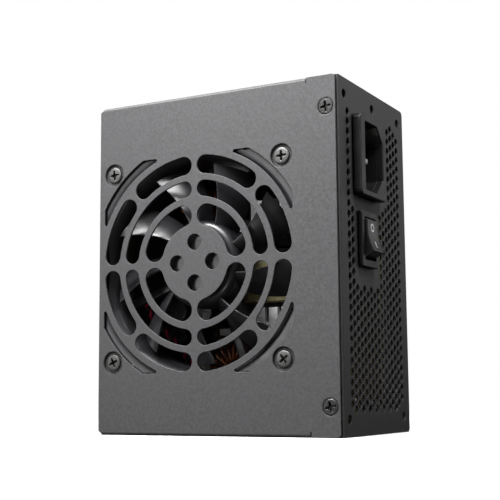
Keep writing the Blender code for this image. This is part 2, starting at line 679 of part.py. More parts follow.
def fan_axis(name, degrees=0):
    """An empty on the fan's axis, turned so that its X points outwards at this angle in the fan's face."""
    empty = bpy.data.objects.new(name, None)
    empty.parent = CORNER
    empty.location = (FAN_X, 0, FAN_Z)
    empty.rotation_euler = (0, math.radians(-degrees), 0)
    PARTS.objects.link(empty)
    return empty


def make_motor():
    """Bearing sleeve and wound stator on the motor plate; shaft and magnet ring turn with the rotor."""
    centre = (FAN_X, 0, FAN_Z)
    plate_top = FAN_BACK - MOTOR_PLATE - GAP
    bearing = [(3.5 * MM, plate_top), (3.5 * MM, plate_top - 8 * MM),
               (SHANK + GAP, plate_top - 8 * MM), (SHANK + GAP, plate_top)]
    turned("fan_bearing", bearing, centre, TOWARDS_BASE, "tinned_brass", steps=20, closed=True)
    magnet_rim = HUB_RADIUS - HUB_WALL - GAP
    magnet_bore = magnet_rim - 1.8 * MM
    neck = 5.6 * MM
    poles = []
    for quarter in range(4):
        middle = quarter * 90
        poles += arc((0, 0), neck, middle - 50, middle - 20, 2)
        poles += arc((0, 0), magnet_bore - 0.6 * MM, middle - 34, middle + 34, 5)
        poles += arc((0, 0), neck, middle + 20, middle + 40, 1)
    stator = [shifted(poles, FAN_X, FAN_Z), circle((FAN_X, FAN_Z), 3.5 * MM + GAP, 20)]
    plate("fan_stator", stator, "Y", plate_top - 7 * MM, plate_top - MM, "copper_wire")
    crown = HUB_FRONT + HUB_WALL + GAP
    axis = fan_axis("rotor_axis")
    shaft = [(0, plate_top - GAP), (SHANK, plate_top - GAP), (SHANK, crown), (0, crown)]
    turned("fan_shaft", shaft, (0, 0, 0), TOWARDS_BASE, "steel", steps=16, parent=axis)
    ring = [(magnet_rim, 11 * MM), (magnet_rim, 5.5 * MM), (magnet_bore, 5.5 * MM), (magnet_bore, 11 * MM)]
    turned("fan_magnet_ring", ring, (0, 0, 0), TOWARDS_BASE, "magnet", steps=24, closed=True, parent=axis)
    make_rotor(axis)


def make_rotor(axis):
    """Hub cup, closed towards the grille, with swept blades."""
    inner = HUB_RADIUS - HUB_WALL
    cup = [(HUB_RADIUS, HUB_DEPTH), (inner, HUB_DEPTH), (inner, HUB_RIM), (inner - MM, HUB_WALL),
           (0, HUB_WALL)]
    front = arc((HUB_RADIUS - HUB_RIM, HUB_RIM), HUB_RIM, -90, 0, 3)
    rotor = turned("fan_rotor", cup[::-1] + front[::-1] + [(0, 0)], (0, HUB_FRONT, 0), TOWARDS_BASE,
                   "fan_plastic", steps=32, parent=axis)
    blades = bpy.data.meshes.new("fan_blades")
    shape = bmesh.new()
    for i in range(BLADES):
        add_blade(shape, BLADE_TURN + 360 / BLADES * i)
    shape.to_mesh(blades)
    shape.free()
    tool = add("fan_blades", blades, parent=axis)
    thicken = tool.modifiers.new("thickness", "SOLIDIFY")
    thicken.thickness = BLADE_THICKNESS
    thicken.offset = 0
    join(rotor, tool)


def add_blade(shape, turn, radial=4, chordwise=3):
    """One blade's middle surface: twisted and swept, its leading edge nearer the grille."""
    root = HUB_RADIUS - MM
    rows = []
    for i in range(radial + 1):
        t = i / radial
        radius = root + (BLADE_TIP - root) * t
        row = []
        for j in range(chordwise + 1):
            s = j / chordwise
            angle = math.radians(turn + BLADE_SWEEP * t + BLADE_HALF_ANGLE * (1 - 2 * s))
            depth = BLADE_Y[0] + (BLADE_Y[1] - BLADE_Y[0]) * s - BLADE_CAMBER * math.sin(math.pi * s)
            row.append(shape.verts.new((radius * math.cos(angle), depth, radius * math.sin(angle))))
        rows.append(row)
    for near, far in zip(rows, rows[1:]):
        for j in range(chordwise):
            shape.faces.new((near[j], near[j + 1], far[j + 1], far[j]))


def make_fan_leads():
    """Two leads from the motor along a strut and down to a plug on the board."""
    for name, side, material in (("fan_lead_red", 0, "red_wire"), ("fan_lead_black", 1.2, "black_wire")):
        stops = [(25, 17.2, 55.8), (10, 17.6, 50), (11, 21, 42.5), (22, 24, 30.5), (22.5, 32, 21)]
        stops = [(x + side, y + side, z + side) for x, y, z in stops] + [(19 + side, 45.6, 17.4 + side)]
        wire(name, stops, 0.65 * MM, material)
    box("fan_plug", (16 * MM, 46 * MM, 15 * MM), (24 * MM, BOARD_TOP, 21 * MM), "white_nylon")


# ---------------------------------------------------------------- circuit board

def make_board():
    holes = [circle((x * MM, z * MM), SHANK + GAP, 12) for x, z in BOARD_SCREWS]
    (x0, x1), (z0, z1) = BOARD_X, BOARD_Z
    plate("main_board", [rectangle((x0, z0), (x1, z1))] + holes, "Y", *BOARD_Y, "circuit_board")
    wide = [circle((x * MM, z * MM), BOSS + GAP, 12) for x, z in BOARD_SCREWS]
    plate("insulating_sheet", [rectangle((x0 - MM, z0 - MM), (x1 + MM, z1 + MM))] + wide, "Y", *SHEET_Y,
          "clear_sheet")
    profile = [(0, 2 * MM), (2.3 * MM, 2 * MM), (3 * MM, 1.4 * MM), (3 * MM, 0), (SHANK, 0),
               (SHANK, -6 * MM), (0, -6 * MM)]
    for i, (x, z) in enumerate(BOARD_SCREWS, 1):
        turned(f"board_screw_{i}", profile, (x * MM, BOARD_TOP, z * MM), TOWARDS_FAN, "steel", steps=10)


def part_box(name, low, high, material):
    """A block from corners in millimetres; a height of None ends on the board."""
    high = [BOARD_TOP / MM if value is None else value for value in high]
    return box(name, [v * MM for v in low], [v * MM for v in high], material)


def make_heatsink(name, plate_z, fins, x_range):
    """A plate standing on the board, folded over below the fan, the fold slit into fins."""
    x0, x1 = x_range
    sink = part_box(name, (x0, 20, plate_z[0]), (x1, None, plate_z[1]), "aluminium")
    join(sink, part_box(name + "_fold", (x0, 20, fins[0]), (x1, 22.2, fins[1]), None))
    slit_low, slit_high = (plate_z[1] + 1, fins[1] + 1)
    count = 4
    for i in range(1, count):
        x = x0 + (x1 - x0) * i / count
        cut(sink, part_box(f"{name}_slit_{i}", (x - 0.8, 19, slit_low), (x + 0.8, 24, slit_high), None))


def make_transformer():
    """Ferrite core around a taped winding, on a bobbin with a foot on the board."""
    x0, x1, z0, z1 = 42, 72, 44, 70
    leg, yoke, centre = 4.5, 5, (53, 61)
    window = (z0 + yoke, z1 - yoke)
    core_y = (33, 47)
    outline = rectangle((x0 * MM, z0 * MM), (x1 * MM, z1 * MM))
    left = rectangle(((x0 + leg) * MM, window[0] * MM), (centre[0] * MM, window[1] * MM))
    right = rectangle((centre[1] * MM, window[0] * MM), ((x1 - leg) * MM, window[1] * MM))
    plate("transformer_core", [outline, left, right], "Y", core_y[0] * MM, core_y[1] * MM, "ferrite")
    gap = GAP / MM
    outer = rectangle(((x0 + leg + 0.6) * MM, 26 * MM), ((x1 - leg - 0.6) * MM, 52 * MM), 4 * MM)
    inner = rectangle(((centre[0] - gap) * MM, (core_y[0] - gap) * MM),
                      ((centre[1] + gap) * MM, (core_y[1] + gap) * MM))
    plate("transformer_winding", [outer, inner], "Z", (window[0] + gap) * MM, (window[1] - gap) * MM,
          "yellow_tape")
    part_box("transformer_bobbin", (x0 + 3, 52.3, z0 + 2), (x1 - 3, None, z1 - 2), "black_epoxy")


def toroid(name, centre, ring, tube, rotation, squash=1.0):
    """A wound ring core: ring and tube radii in millimetres."""
    section = arc((ring, 0), tube, 90, -210, 5)
    profile = [(radius * MM, squash * height * MM) for radius, height in section]
    turned(name, profile, [v * MM for v in centre], rotation, "copper_wire", steps=18, closed=True)


def standing_can(name, x, z, radius, height, steps=12):
    """An electrolytic capacitor standing on the board, with the groove of its rolled seal."""
    r, h = radius * MM, height * MM
    neck = r - 0.6 * MM
    profile = [(0, h), (neck, h), (r, h - 0.6 * MM), (r, 3 * MM), (neck, 2 * MM), (neck, 0), (0, 0)]
    turned(name, profile, (x * MM, BOARD_TOP, z * MM), TOWARDS_FAN, "capacitor_sleeve", steps=steps)


def make_components():
    make_heatsink("primary_heatsink", (76, 78.5), (76, 87), (38, 72))
    make_heatsink("secondary_heatsink", (37.5, 40), (37.5, 46.5), (34, 72))
    make_transformer()
    standing_can("bulk_capacitor", 46, 106, 12.5, 36, steps=20)
    for i, (x, z) in enumerate(((14, 48), (14, 37), (26, 47)), 1):
        standing_can(f"output_capacitor_{i}", x, z, 5, 23)
    toroid("pfc_choke", (25, 41, 92), 7.6, 4.4, UPWARDS)
    toroid("output_choke", (38, 43, 23), 7.8, 4.6, TOWARDS_BASE, squash=1.3)
    toroid("line_filter_choke", (71, 46.5, 92.5), 5.4, 3.2, TOWARDS_BASE, squash=1.6)
    part_box("x_capacitor", (62, 41, 104), (81, None, 118), "box_capacitor")
    part_box("standby_transformer", (14, 37, 60), (29, None, 74), "yellow_tape")
    part_box("control_board", (8, 36, 78), (34, None, 79.6), "circuit_board")
    part_box("bridge_rectifier", (44, 34, 79), (60, None, 82.4), "black_epoxy")
    for i, x in enumerate((44, 58), 1):
        part_box(f"switching_transistor_{i}", (x, 36, 71.2), (x + 10, None, 75.6), "black_epoxy")
    part_box("output_rectifier", (56, 35, 32.8), (67, None, 37.1), "black_epoxy")
    cylinder("line_fuse", 2.6 * MM, 20 * MM, (86.2 * MM, 51 * MM, 72 * MM), UPWARDS, "glass_tube", sides=16)
    disc = cylinder("surge_varistor", 5 * MM, 3.6 * MM, (78 * MM, 47 * MM, 59 * MM), TOWARDS_MAINS,
                    "blue_epoxy", sides=16)
    join(disc, part_box("varistor_leads", (77.6, 51, 57), (78.4, None, 61), None))


def make_mains_wires():
    pins = pin_places()
    tail = PIN_TAIL / MM - 0.4
    line_y, line_z = (v / MM for v in pins["line"])
    neutral_z = pins["neutral"][1] / MM
    earth_y, earth_z = (v / MM for v in pins["earth"])
    tab_x = TAB_TAIL / MM - 0.8
    (tab_y, low_z), (_, high_z) = switch_tab_places()
    tab_y, low_z, high_z = tab_y / MM, low_z / MM, high_z / MM
    wire("live_wire", [(tail, line_y, line_z), (76.6, line_y + 0.2, line_z - 1.4), (74.8, line_y + 0.5, 85),
                       (73.9, tab_y, high_z + 3), (tab_x, tab_y, high_z)], 0.9 * MM, "brown_wire")
    wire("switched_live_wire", [(tab_x, tab_y, low_z), (73.8, tab_y + 1.5, low_z + 0.5), (74.8, 36, 67),
                                (77.5, 46, 69.5), (78.5, 51, 70), (78.5, 55, 70)], 0.9 * MM, "brown_wire")
    wire("neutral_wire", [(tail, line_y, neutral_z), (76.6, line_y + 1.2, neutral_z - 0.5),
                          (76.4, 31, 103.4), (81, 42, 102.2), (84, 49, 101.8), (84, 55, 101.6)],
         0.9 * MM, "blue_wire")
    wire("earth_wire", [(tail, earth_y, earth_z), (77, earth_y + 1.5, earth_z - 1.5), (77.5, 35.5, 93),
                        (83, 38, 86), (91, 39, 83.5), (94.6, 44, 82), (95.2, 53, 81.5), (95.2, 62.3, 81.5)],
         0.9 * MM, "green_wire")


def make_grommet():
    """A bush snapped into the cable end, for the output cables to pass through."""
    neck, bore = OUTLET_NECK, OUTLET_BORE
    profile = [(bore, 1.8 * MM), (neck + 2.2 * MM, 1.6 * MM), (neck + 2.2 * MM, GAP), (neck, GAP),
               (neck, -SHEET - GAP), (neck + 1.4 * MM, -SHEET - GAP), (neck + 0.4 * MM, -2.8 * MM),
               (bore, -2.8 * MM)]
    turned("cable_grommet", profile, (0, OUTLET_Y, OUTLET_Z), TOWARDS_CABLES, "rubber", steps=24,
           closed=True)


def make_power_supply():
    make_cover()
    make_base_tray()
    make_rear_panel()
    make_cover_screws()
    make_fan_screws()
    make_inlet()
    make_switch()
    make_rocker()
    make_fan_frame()
    make_motor()
    make_fan_leads()
    make_board()
    make_components()
    make_mains_wires()
    make_grommet()


make_power_supply()
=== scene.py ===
"""Small form factor computer power supply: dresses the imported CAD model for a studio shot."""

import math

import bmesh
import bpy
from mathutils import Matrix, Vector


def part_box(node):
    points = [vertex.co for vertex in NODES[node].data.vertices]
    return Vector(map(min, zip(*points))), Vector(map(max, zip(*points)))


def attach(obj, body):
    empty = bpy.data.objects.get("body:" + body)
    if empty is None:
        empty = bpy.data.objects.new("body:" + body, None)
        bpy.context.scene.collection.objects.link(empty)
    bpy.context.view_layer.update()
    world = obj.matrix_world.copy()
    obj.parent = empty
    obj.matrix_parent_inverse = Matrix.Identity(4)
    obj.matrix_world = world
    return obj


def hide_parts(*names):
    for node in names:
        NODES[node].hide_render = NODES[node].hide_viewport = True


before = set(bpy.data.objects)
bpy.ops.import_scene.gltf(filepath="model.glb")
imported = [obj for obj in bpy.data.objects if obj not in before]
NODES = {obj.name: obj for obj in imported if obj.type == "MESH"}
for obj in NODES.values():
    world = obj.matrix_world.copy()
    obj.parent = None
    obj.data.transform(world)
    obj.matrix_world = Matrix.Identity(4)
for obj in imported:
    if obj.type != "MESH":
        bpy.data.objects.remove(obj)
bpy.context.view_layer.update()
SCENE = bpy.context.scene
MM = 0.001
CORNER = Vector(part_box("cover_shell")[0])      # case coordinates, in millimetres, start here


def node_box(name):
    """A CAD node's lowest and highest corners in case coordinates, in millimetres."""
    return [(Vector(corner) - CORNER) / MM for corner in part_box(name)]


COVER = node_box("cover_shell")
DEPTH = node_box("rear_panel")[1].x
THICKNESS, WIDTH = COVER[1].y, COVER[1].z
SHEET = 0.8
BEND = 1.2                                     # outer radius of a fold
FAN = sum(node_box("fan_frame"), Vector()) / 2
FAN_FRONT, FAN_BACK = (corner.y for corner in node_box("fan_frame"))


# ---- materials

def feed(tree, node, values):
    """Gives a node's inputs their values, or links from other nodes' outputs."""
    for key, value in values.items():
        socket = node.inputs[key]
        if isinstance(value, bpy.types.NodeSocket):
            tree.links.new(value, socket)
        else:
            socket.default_value = (*value, 1) if socket.type == "RGBA" else value


def add_node(tree, kind, inputs=None, **settings):
    node = tree.nodes.new(kind)
    for key, value in settings.items():
        setattr(node, key, value)
    feed(tree, node, inputs or {})
    return node


def mapped(tree, value, low, high, start, end):
    return add_node(tree, "ShaderNodeMapRange", {"Value": value, "From Min": low, "From Max": high,
                                                 "To Min": start, "To Max": end}).outputs["Result"]


class Finish:
    """A procedural material in the making. Sizes are in millimetres of the object's own space."""

    def __init__(self, name, colour, roughness, **values):
        self.material = bpy.data.materials.new(name)
        self.material.use_nodes = True
        self.tree = self.material.node_tree
        self.shader = self.tree.nodes["Principled BSDF"]
        self.set(colour=colour, roughness=roughness)
        for key, value in values.items():
            self.shader.inputs[key.replace("_", " ").title().replace("Ior", "IOR")].default_value = value
        self.coordinates = self.add("ShaderNodeTexCoord").outputs["Object"]
        self.normal = None

    def add(self, kind, inputs=None, **settings):
        return add_node(self.tree, kind, inputs, **settings)

    def set(self, colour=None, roughness=None, specular=None):
        values = {"Base Color": colour, "Roughness": roughness, "Specular IOR Level": specular}
        feed(self.tree, self.shader, {key: value for key, value in values.items() if value is not None})

    def noise(self, size, detail=3, stretch=(1, 1, 1), distortion=0.0):
        scaled = self.add("ShaderNodeMapping", {"Vector": self.coordinates, "Scale": stretch})
        return self.add("ShaderNodeTexNoise", {
            "Vector": scaled.outputs["Vector"], "Scale": 1 / (size * MM), "Detail": detail,
            "Distortion": distortion}).outputs["Fac"]

    def cells(self, size, feature="F1", randomness=1.0):
        return self.add("ShaderNodeTexVoronoi", {
            "Vector": self.coordinates, "Scale": 1 / (size * MM), "Randomness": randomness},
            feature=feature).outputs["Distance"]

    def bands(self, size, direction="Z", distortion=0.0, profile="SIN"):
        return self.add("ShaderNodeTexWave", {
            "Vector": self.coordinates, "Scale": 1 / (size * MM) * 0.1, "Distortion": distortion},
            bands_direction=direction, wave_profile=profile).outputs["Fac"]

    def span(self, value, low=0.3, high=0.7, start=0.0, end=1.0):
        """value from low..high to start..end, clamped."""
        return mapped(self.tree, value, low, high, start, end)

    def maths(self, operation, a, b=0.0):
        return self.add("ShaderNodeMath", {0: a, 1: b}, operation=operation).outputs["Value"]

    def blend(self, factor, a, b):
        return self.add("ShaderNodeMix", {"Factor": factor, 6: a, 7: b}, data_type="RGBA").outputs[2]

    def edges(self, radius, softness=0.12):
        """1 on edges that a rounding of this radius would touch, 0 elsewhere; rounds the shading too."""
        self.normal = self.add("ShaderNodeBevel", {"Radius": radius * MM}, samples=4).outputs["Normal"]
        flat = self.add("ShaderNodeNewGeometry").outputs["Normal"]
        dot = self.add("ShaderNodeVectorMath", {0: self.normal, 1: flat}, operation="DOT_PRODUCT")
        return self.span(dot.outputs["Value"], 1.0, 1.0 - softness)

    def shades(self, pattern, colour, dark, light, low=0.3, high=0.7):
        """From a darker to a lighter shade of the colour, along a pattern."""
        return self.blend(self.span(pattern, low, high), scaled(colour, dark), scaled(colour, light))

    def edge_wear_and_highlight(self, edge_mask, amount, below, colour):
        """The colour below, partly turned to another one along an edge mask: edge wear, and on the inlet
        and rocker mouldings a painted highlight.
        """
        return self.blend(self.maths("MULTIPLY", edge_mask, amount), below, colour)

    def crevices(self, reach):
        """0 in the open, 1 deep in corners and gaps within reach millimetres."""
        shade = self.add("ShaderNodeAmbientOcclusion", {"Distance": reach * MM}, samples=8)
        return self.maths("SUBTRACT", 1.0, shade.outputs["AO"])

    def bump(self, height, distance, strength=1.0):
        inputs = {"Height": height, "Distance": distance * MM, "Strength": strength}
        if self.normal is not None:
            inputs["Normal"] = self.normal
        self.normal = self.add("ShaderNodeBump", inputs).outputs["Normal"]
        self.tree.links.new(self.normal, self.shader.inputs["Normal"])
        return self


def scaled(colour, factor):
    return tuple(min(1, c * factor) for c in colour)


def powder_coat(name, tone, roughness, reach, depth=0.45):
    """Fine-grained matt paint, lighter where its edges wear, with painted shade darkening corners and gaps
    within reach millimetres.
    """
    coat = Finish(name, tone, roughness, specular_ior_level=0.45)
    edge_mask = coat.edges(0.25)
    grain = coat.noise(0.9, detail=3)
    drift = coat.noise(28, detail=2)
    speckle = coat.shades(grain, tone, 0.78, 1.24, 0.35, 0.65)
    drifted = coat.blend(coat.span(drift, 0.3, 0.7, 0.0, 0.35), speckle, scaled(tone, 1.1))
    edge_wear_and_highlight = coat.edge_wear_and_highlight(edge_mask, 0.35, drifted, scaled(tone, 2.2))
    # painted shade: the coat darkens towards 0.12 of its tone in corners and gaps within reach
    painted_corner_shade = coat.span(coat.crevices(reach), depth / 3, depth)
    coat.set(colour=coat.blend(painted_corner_shade, edge_wear_and_highlight, scaled(tone, 0.12)),
             roughness=coat.span(grain, start=roughness - 0.06, end=roughness + 0.08))
    height = coat.maths("ADD", grain, coat.maths("MULTIPLY", coat.noise(0.16, detail=1), 0.4))
    return coat.bump(height, 0.03, 0.75).material


def plain_metal(name, colour, roughness, grain=0.3, stretch=(1, 1, 1), wear=None, dark=0.75, metallic=1.0):
    """Bare or plated metal with fine scratches along one direction."""
    metal = Finish(name, colour, roughness, metallic=metallic)
    edge_mask = metal.edges(0.12)
    scratches = metal.noise(grain, detail=5, stretch=stretch)
    stains = metal.noise(6, detail=3)
    base = metal.blend(metal.span(stains, 0.35, 0.7), scaled(colour, dark), colour)
    metal.set(colour=metal.edge_wear_and_highlight(edge_mask, 0.5, base, wear or scaled(colour, 1.3)),
              roughness=metal.span(scratches, start=roughness - 0.08, end=roughness + 0.14))
    return metal.bump(scratches, 0.012, 0.6).material


def moulded(name, colour, roughness, texture=0.25, depth=0.012, edge=0.15, spread=0.05, recess=0.0, wear_and_highlight_factor=2.0,
            **values):
    """Moulded plastic: a faint spark-eroded texture and cloudy gloss. Edges are brighter by the given
    factor:
    wear, and where the factor is high, as on the inlet and the rocker, a painted highlight.

    Recesses narrower than recess millimetres are darker and reflect less: painted shade.
    """
    plastic = Finish(name, colour, roughness, **values)
    edge_mask = plastic.edges(edge)
    grain = plastic.noise(texture, detail=2)
    cloud = plastic.noise(7, detail=3, distortion=0.4)
    base = plastic.shades(cloud, colour, 0.88, 1.12, 0.35, 0.65)
    # lighter edges: wear, and with a high factor a painted highlight
    edge_wear_and_highlight = plastic.edge_wear_and_highlight(edge_mask, 0.3, base, scaled(colour, wear_and_highlight_factor))
    if recess:
        # painted shade: narrow recesses darken towards 0.15 of the colour and lose their reflection
        painted_recess_shade = plastic.span(plastic.crevices(recess), 0.2, 0.6)
        edge_wear_and_highlight = plastic.blend(painted_recess_shade, edge_wear_and_highlight, scaled(colour, 0.15))
        plastic.set(specular=plastic.maths("MULTIPLY", plastic.maths("SUBTRACT", 1.0, painted_recess_shade), 0.5))
    gloss = plastic.span(cloud, start=roughness - spread, end=roughness + spread)
    plastic.set(colour=edge_wear_and_highlight, roughness=gloss)
    return plastic.bump(grain, depth, 0.6).material


def circuit_board():
    """Masked laminate with tracks, solder lands and a fine glass weave; its faces are darkened as painted
    shade, and its sawn edges keep the laminate's own pale colour.
    """
    # the faces' dark tone is painted shade; the sawn colour is the laminate's own
    tone, sawn = (0.1, 0.07, 0.03), (0.42, 0.33, 0.17)
    board = Finish("circuit_board", tone, 0.45, coat_weight=0.15, coat_roughness=0.3)
    board.edges(0.15)
    tracks = board.span(board.cells(5.5, feature="DISTANCE_TO_EDGE"), 0.02, 0.05)
    lands = board.span(board.cells(3.4), 0.16, 0.2)
    weave = board.maths("MULTIPLY", board.bands(0.5, "X"), board.bands(0.5, "Z"))
    resin = board.blend(board.span(board.noise(9), 0.3, 0.7), scaled(tone, 0.8), tone)
    tracked = board.blend(tracks, (0.06, 0.042, 0.018), resin)
    soldered = board.blend(lands, (0.4, 0.39, 0.37), tracked)
    normal = board.add("ShaderNodeNewGeometry").outputs["Normal"]
    across = board.add("ShaderNodeSeparateXYZ", {"Vector": normal}).outputs["Y"]
    side = board.span(board.maths("ABSOLUTE", across), 0.7, 0.3)
    board.set(colour=board.blend(side, soldered, sawn),
              roughness=board.span(lands, 0.0, 1.0, 0.3, 0.5))
    height = board.maths("ADD", board.maths("MULTIPLY", weave, 0.25), board.maths("SUBTRACT", 1.0, lands))
    return board.bump(height, 0.05, 0.5).material


def sleeve(name, colour):
    """Shrunk plastic sleeve: slightly rippled, glossy, with fine scuffs."""
    film = Finish(name, colour, 0.3, coat_weight=0.3, coat_roughness=0.2)
    edge_mask = film.edges(0.3)
    ripple = film.noise(3.2, detail=2, stretch=(1, 0.3, 1))
    scuff = film.noise(0.3, detail=4)
    scuffed = film.blend(film.span(scuff, 0.55, 0.75), colour, scaled(colour, 1.8))
    film.set(colour=film.edge_wear_and_highlight(edge_mask, 0.3, scuffed, scaled(colour, 2.2)),
             roughness=film.span(scuff, start=0.24, end=0.42))
    return film.bump(ripple, 0.12, 0.6).material


def wound_copper():
    """Enamelled copper wire: warm, glossy varnish, darker in patches of resin."""
    copper = Finish("copper_wire", (0.55, 0.2, 0.08), 0.28, metallic=0.85, coat_weight=0.6,
                    coat_roughness=0.12)
    resin = copper.noise(2.4, detail=4)
    draw = copper.noise(0.12, detail=2)
    copper.set(colour=copper.blend(copper.span(resin, 0.4, 0.68), (0.6, 0.23, 0.1), (0.28, 0.08, 0.035)),
               roughness=copper.span(draw, start=0.22, end=0.4))
    return copper.bump(draw, 0.01, 0.5).material


def polyester_tape():
    """Layers of yellow tape: overlapping edges, trapped air and a soft gloss."""
    tone = (0.6, 0.53, 0.28)
    tape = Finish("yellow_tape", tone, 0.35, coat_weight=0.4, coat_roughness=0.15)
    tape.edges(0.4)
    wrinkle = tape.noise(2.2, detail=4, stretch=(1, 1, 0.35))
    lap = tape.span(tape.bands(3.1, "Z", distortion=0.5, profile="SAW"), 0.9, 1.0)
    tape.set(colour=tape.blend(lap, tape.shades(wrinkle, tone, 0.8, 1.15), scaled(tone, 0.5)),
             roughness=tape.span(wrinkle, start=0.25, end=0.45))
    return tape.bump(tape.maths("ADD", wrinkle, lap), 0.08, 0.5).material


def fired_ferrite():
    stone = Finish("ferrite", (0.045, 0.045, 0.047), 0.55)
    chipped = stone.edges(0.35)
    pores = stone.cells(0.35)
    pitted = stone.blend(stone.span(pores, 0.1, 0.5), (0.035, 0.035, 0.038), (0.06, 0.06, 0.062))
    stone.set(colour=stone.edge_wear_and_highlight(chipped, 0.4, pitted, (0.14, 0.14, 0.145)),
              roughness=stone.span(stone.noise(0.9), start=0.42, end=0.65))
    return stone.bump(pores, 0.02, 0.6).material


def clouded(name, colour, roughness, size, shades, gloss, relief, edges=(0.3, 0.7), **values):
    """One noise of this size varies the colour between two shades, the gloss and the relief."""
    finish = Finish(name, colour, roughness, **values)
    cloud = finish.noise(size)
    finish.set(colour=finish.blend(finish.span(cloud, *edges), *shades),
               roughness=finish.span(cloud, start=gloss[0], end=gloss[1]))
    return finish.bump(cloud, *relief).material


def cable_jacket(name, colour, roughness=0.42):
    """Soft insulation with a waxy, slightly uneven surface."""
    return clouded(name, colour, roughness, 0.9, (scaled(colour, 0.85), scaled(colour, 1.12)),
                   (roughness - 0.08, roughness + 0.1), (0.02, 0.5), edges=(0.35, 0.7),
                   subsurface_weight=0.03, subsurface_scale=0.001)


def make_finishes():
    return {
        # the case's coat, with painted shade in corners and gaps up to 1.2 mm across
        "black_powder_coat": powder_coat("case_powder_coat", (0.05, 0.05, 0.052), 0.52, 1.2),
        # the screw seats' coat: the same paint with deeper painted shade, reaching 3.5 mm into the dimples
        "seat_coat": powder_coat("seat_powder_coat_painted_shade", (0.05, 0.05, 0.052), 0.52, 3.5, depth=0.3),
        "nickel_screw": plain_metal("screw_plating", (0.13, 0.13, 0.127), 0.48, grain=0.18,
                                    wear=(0.5, 0.5, 0.48)),
        # the inlet: edges brightened six-fold as a painted highlight, recesses up to 9 mm darkened as
        # painted shade
        "black_plastic": moulded("inlet_plastic", (0.014, 0.014, 0.015), 0.42, edge=0.3, recess=9, wear_and_highlight_factor=6),
        # the rocker: wide edges brightened eight-fold as a painted highlight
        "rocker_plastic": moulded("rocker_plastic", (0.012, 0.012, 0.013), 0.28, texture=0.4, depth=0.006,
                                  edge=0.6, wear_and_highlight_factor=8),
        "fan_plastic": moulded("fan_plastic", (0.016, 0.016, 0.018), 0.33, texture=0.5, depth=0.005),
        "dark_screw": plain_metal("dark_screw_plating", (0.075, 0.075, 0.074), 0.4, grain=0.18,
                                  wear=(0.3, 0.3, 0.29)),
        "can_top": plain_metal("can_top", (0.16, 0.16, 0.16), 0.5, grain=1.5),
        "tinned_brass": plain_metal("tinned_brass", (0.9, 0.88, 0.82), 0.22, stretch=(0.2, 1, 1),
                                    metallic=0.5),
        "circuit_board": circuit_board(),
        "clear_sheet": clouded("clear_sheet", (0.55, 0.56, 0.52), 0.3, 14,
                               ((0.5, 0.51, 0.47), (0.62, 0.63, 0.6)), (0.25, 0.45), (0.15, 0.4),
                               transmission_weight=0.35, ior=1.5),
        "aluminium": plain_metal("aluminium", (0.8, 0.8, 0.81), 0.35, grain=1.2, stretch=(0.05, 1, 3),
                                 metallic=0.4),
        "capacitor_sleeve": sleeve("capacitor_sleeve", (0.016, 0.016, 0.019)),
        "ferrite": fired_ferrite(),
        "yellow_tape": polyester_tape(),
        "copper_wire": wound_copper(),
        "box_capacitor": moulded("box_capacitor", (0.42, 0.3, 0.07), 0.45, texture=0.3),
        "black_epoxy": moulded("black_epoxy", (0.02, 0.02, 0.022), 0.5, texture=0.15, depth=0.02),
        "blue_epoxy": moulded("blue_epoxy", (0.02, 0.07, 0.28), 0.3, texture=1.2, depth=0.05),
        "glass_tube": clouded("glass_tube", (0.8, 0.83, 0.82), 0.08, 2.0,
                              ((0.86, 0.88, 0.87), (0.72, 0.74, 0.72)), (0.05, 0.18), (0.02, 0.3),
                              edges=(0.4, 0.7), transmission_weight=0.8, ior=1.45),
        "rubber": moulded("rubber", (0.018, 0.018, 0.018), 0.62, texture=0.35, depth=0.02),
        "magnet": plain_metal("magnet", (0.09, 0.09, 0.095), 0.5),
        "steel": plain_metal("steel", (0.5, 0.5, 0.51), 0.25, stretch=(1, 1, 0.1)),
        "white_nylon": moulded("white_nylon", (0.66, 0.65, 0.6), 0.42, texture=0.5, subsurface_weight=0.05,
                               subsurface_scale=0.001),
        "brown_wire": cable_jacket("brown_wire", (0.13, 0.05, 0.02)),
        "blue_wire": cable_jacket("blue_wire", (0.03, 0.09, 0.35)),
        "green_wire": cable_jacket("green_wire", (0.04, 0.11, 0.02)),
        "red_wire": cable_jacket("red_wire", (0.5, 0.012, 0.07), 0.36),
        "black_wire": cable_jacket("black_wire", (0.015, 0.015, 0.016), 0.36),
        "mark_paint": moulded("mark_paint", (0.85, 0.85, 0.83), 0.5, texture=0.3),
    }


FINISHES = make_finishes()


def dress_cad_nodes():
    """Gives every CAD node the finish of its material slot."""
    for obj in NODES.values():
        for material_slot in obj.material_slots:
            name = material_slot.material.name.split(".")[0]
            if name in FINISHES:
                material_slot.material = FINISHES[name]


# ---- mesh tools: case coordinates, in mm

def arc(centre, radius, start, end, steps):
    """Points from one angle to another, in degrees, both ends included."""
    angles = (math.radians(start + (end - start) * i / steps) for i in range(steps + 1))
    return [(centre[0] + radius * math.cos(a), centre[1] + radius * math.sin(a)) for a in angles]


def circle(centre, radius, sides=48):
    return arc(centre, radius, 0, 360, sides)[:-1]


def rectangle(low, high, corner=0.0, steps=6, grow=0.0):
    """An outline between two corners, moved outwards by grow, with its corners rounded."""
    x0, y0, x1, y1 = low[0] - grow, low[1] - grow, high[0] + grow, high[1] + grow
    if not corner:
        return [(x0, y0), (x1, y0), (x1, y1), (x0, y1)]
    corners = ((x1 - corner, y1 - corner), (x0 + corner, y1 - corner),
               (x0 + corner, y0 + corner), (x1 - corner, y0 + corner))
    return [point for quarter, centre in enumerate(corners)
            for point in arc(centre, corner, quarter * 90, quarter * 90 + 90, steps)]


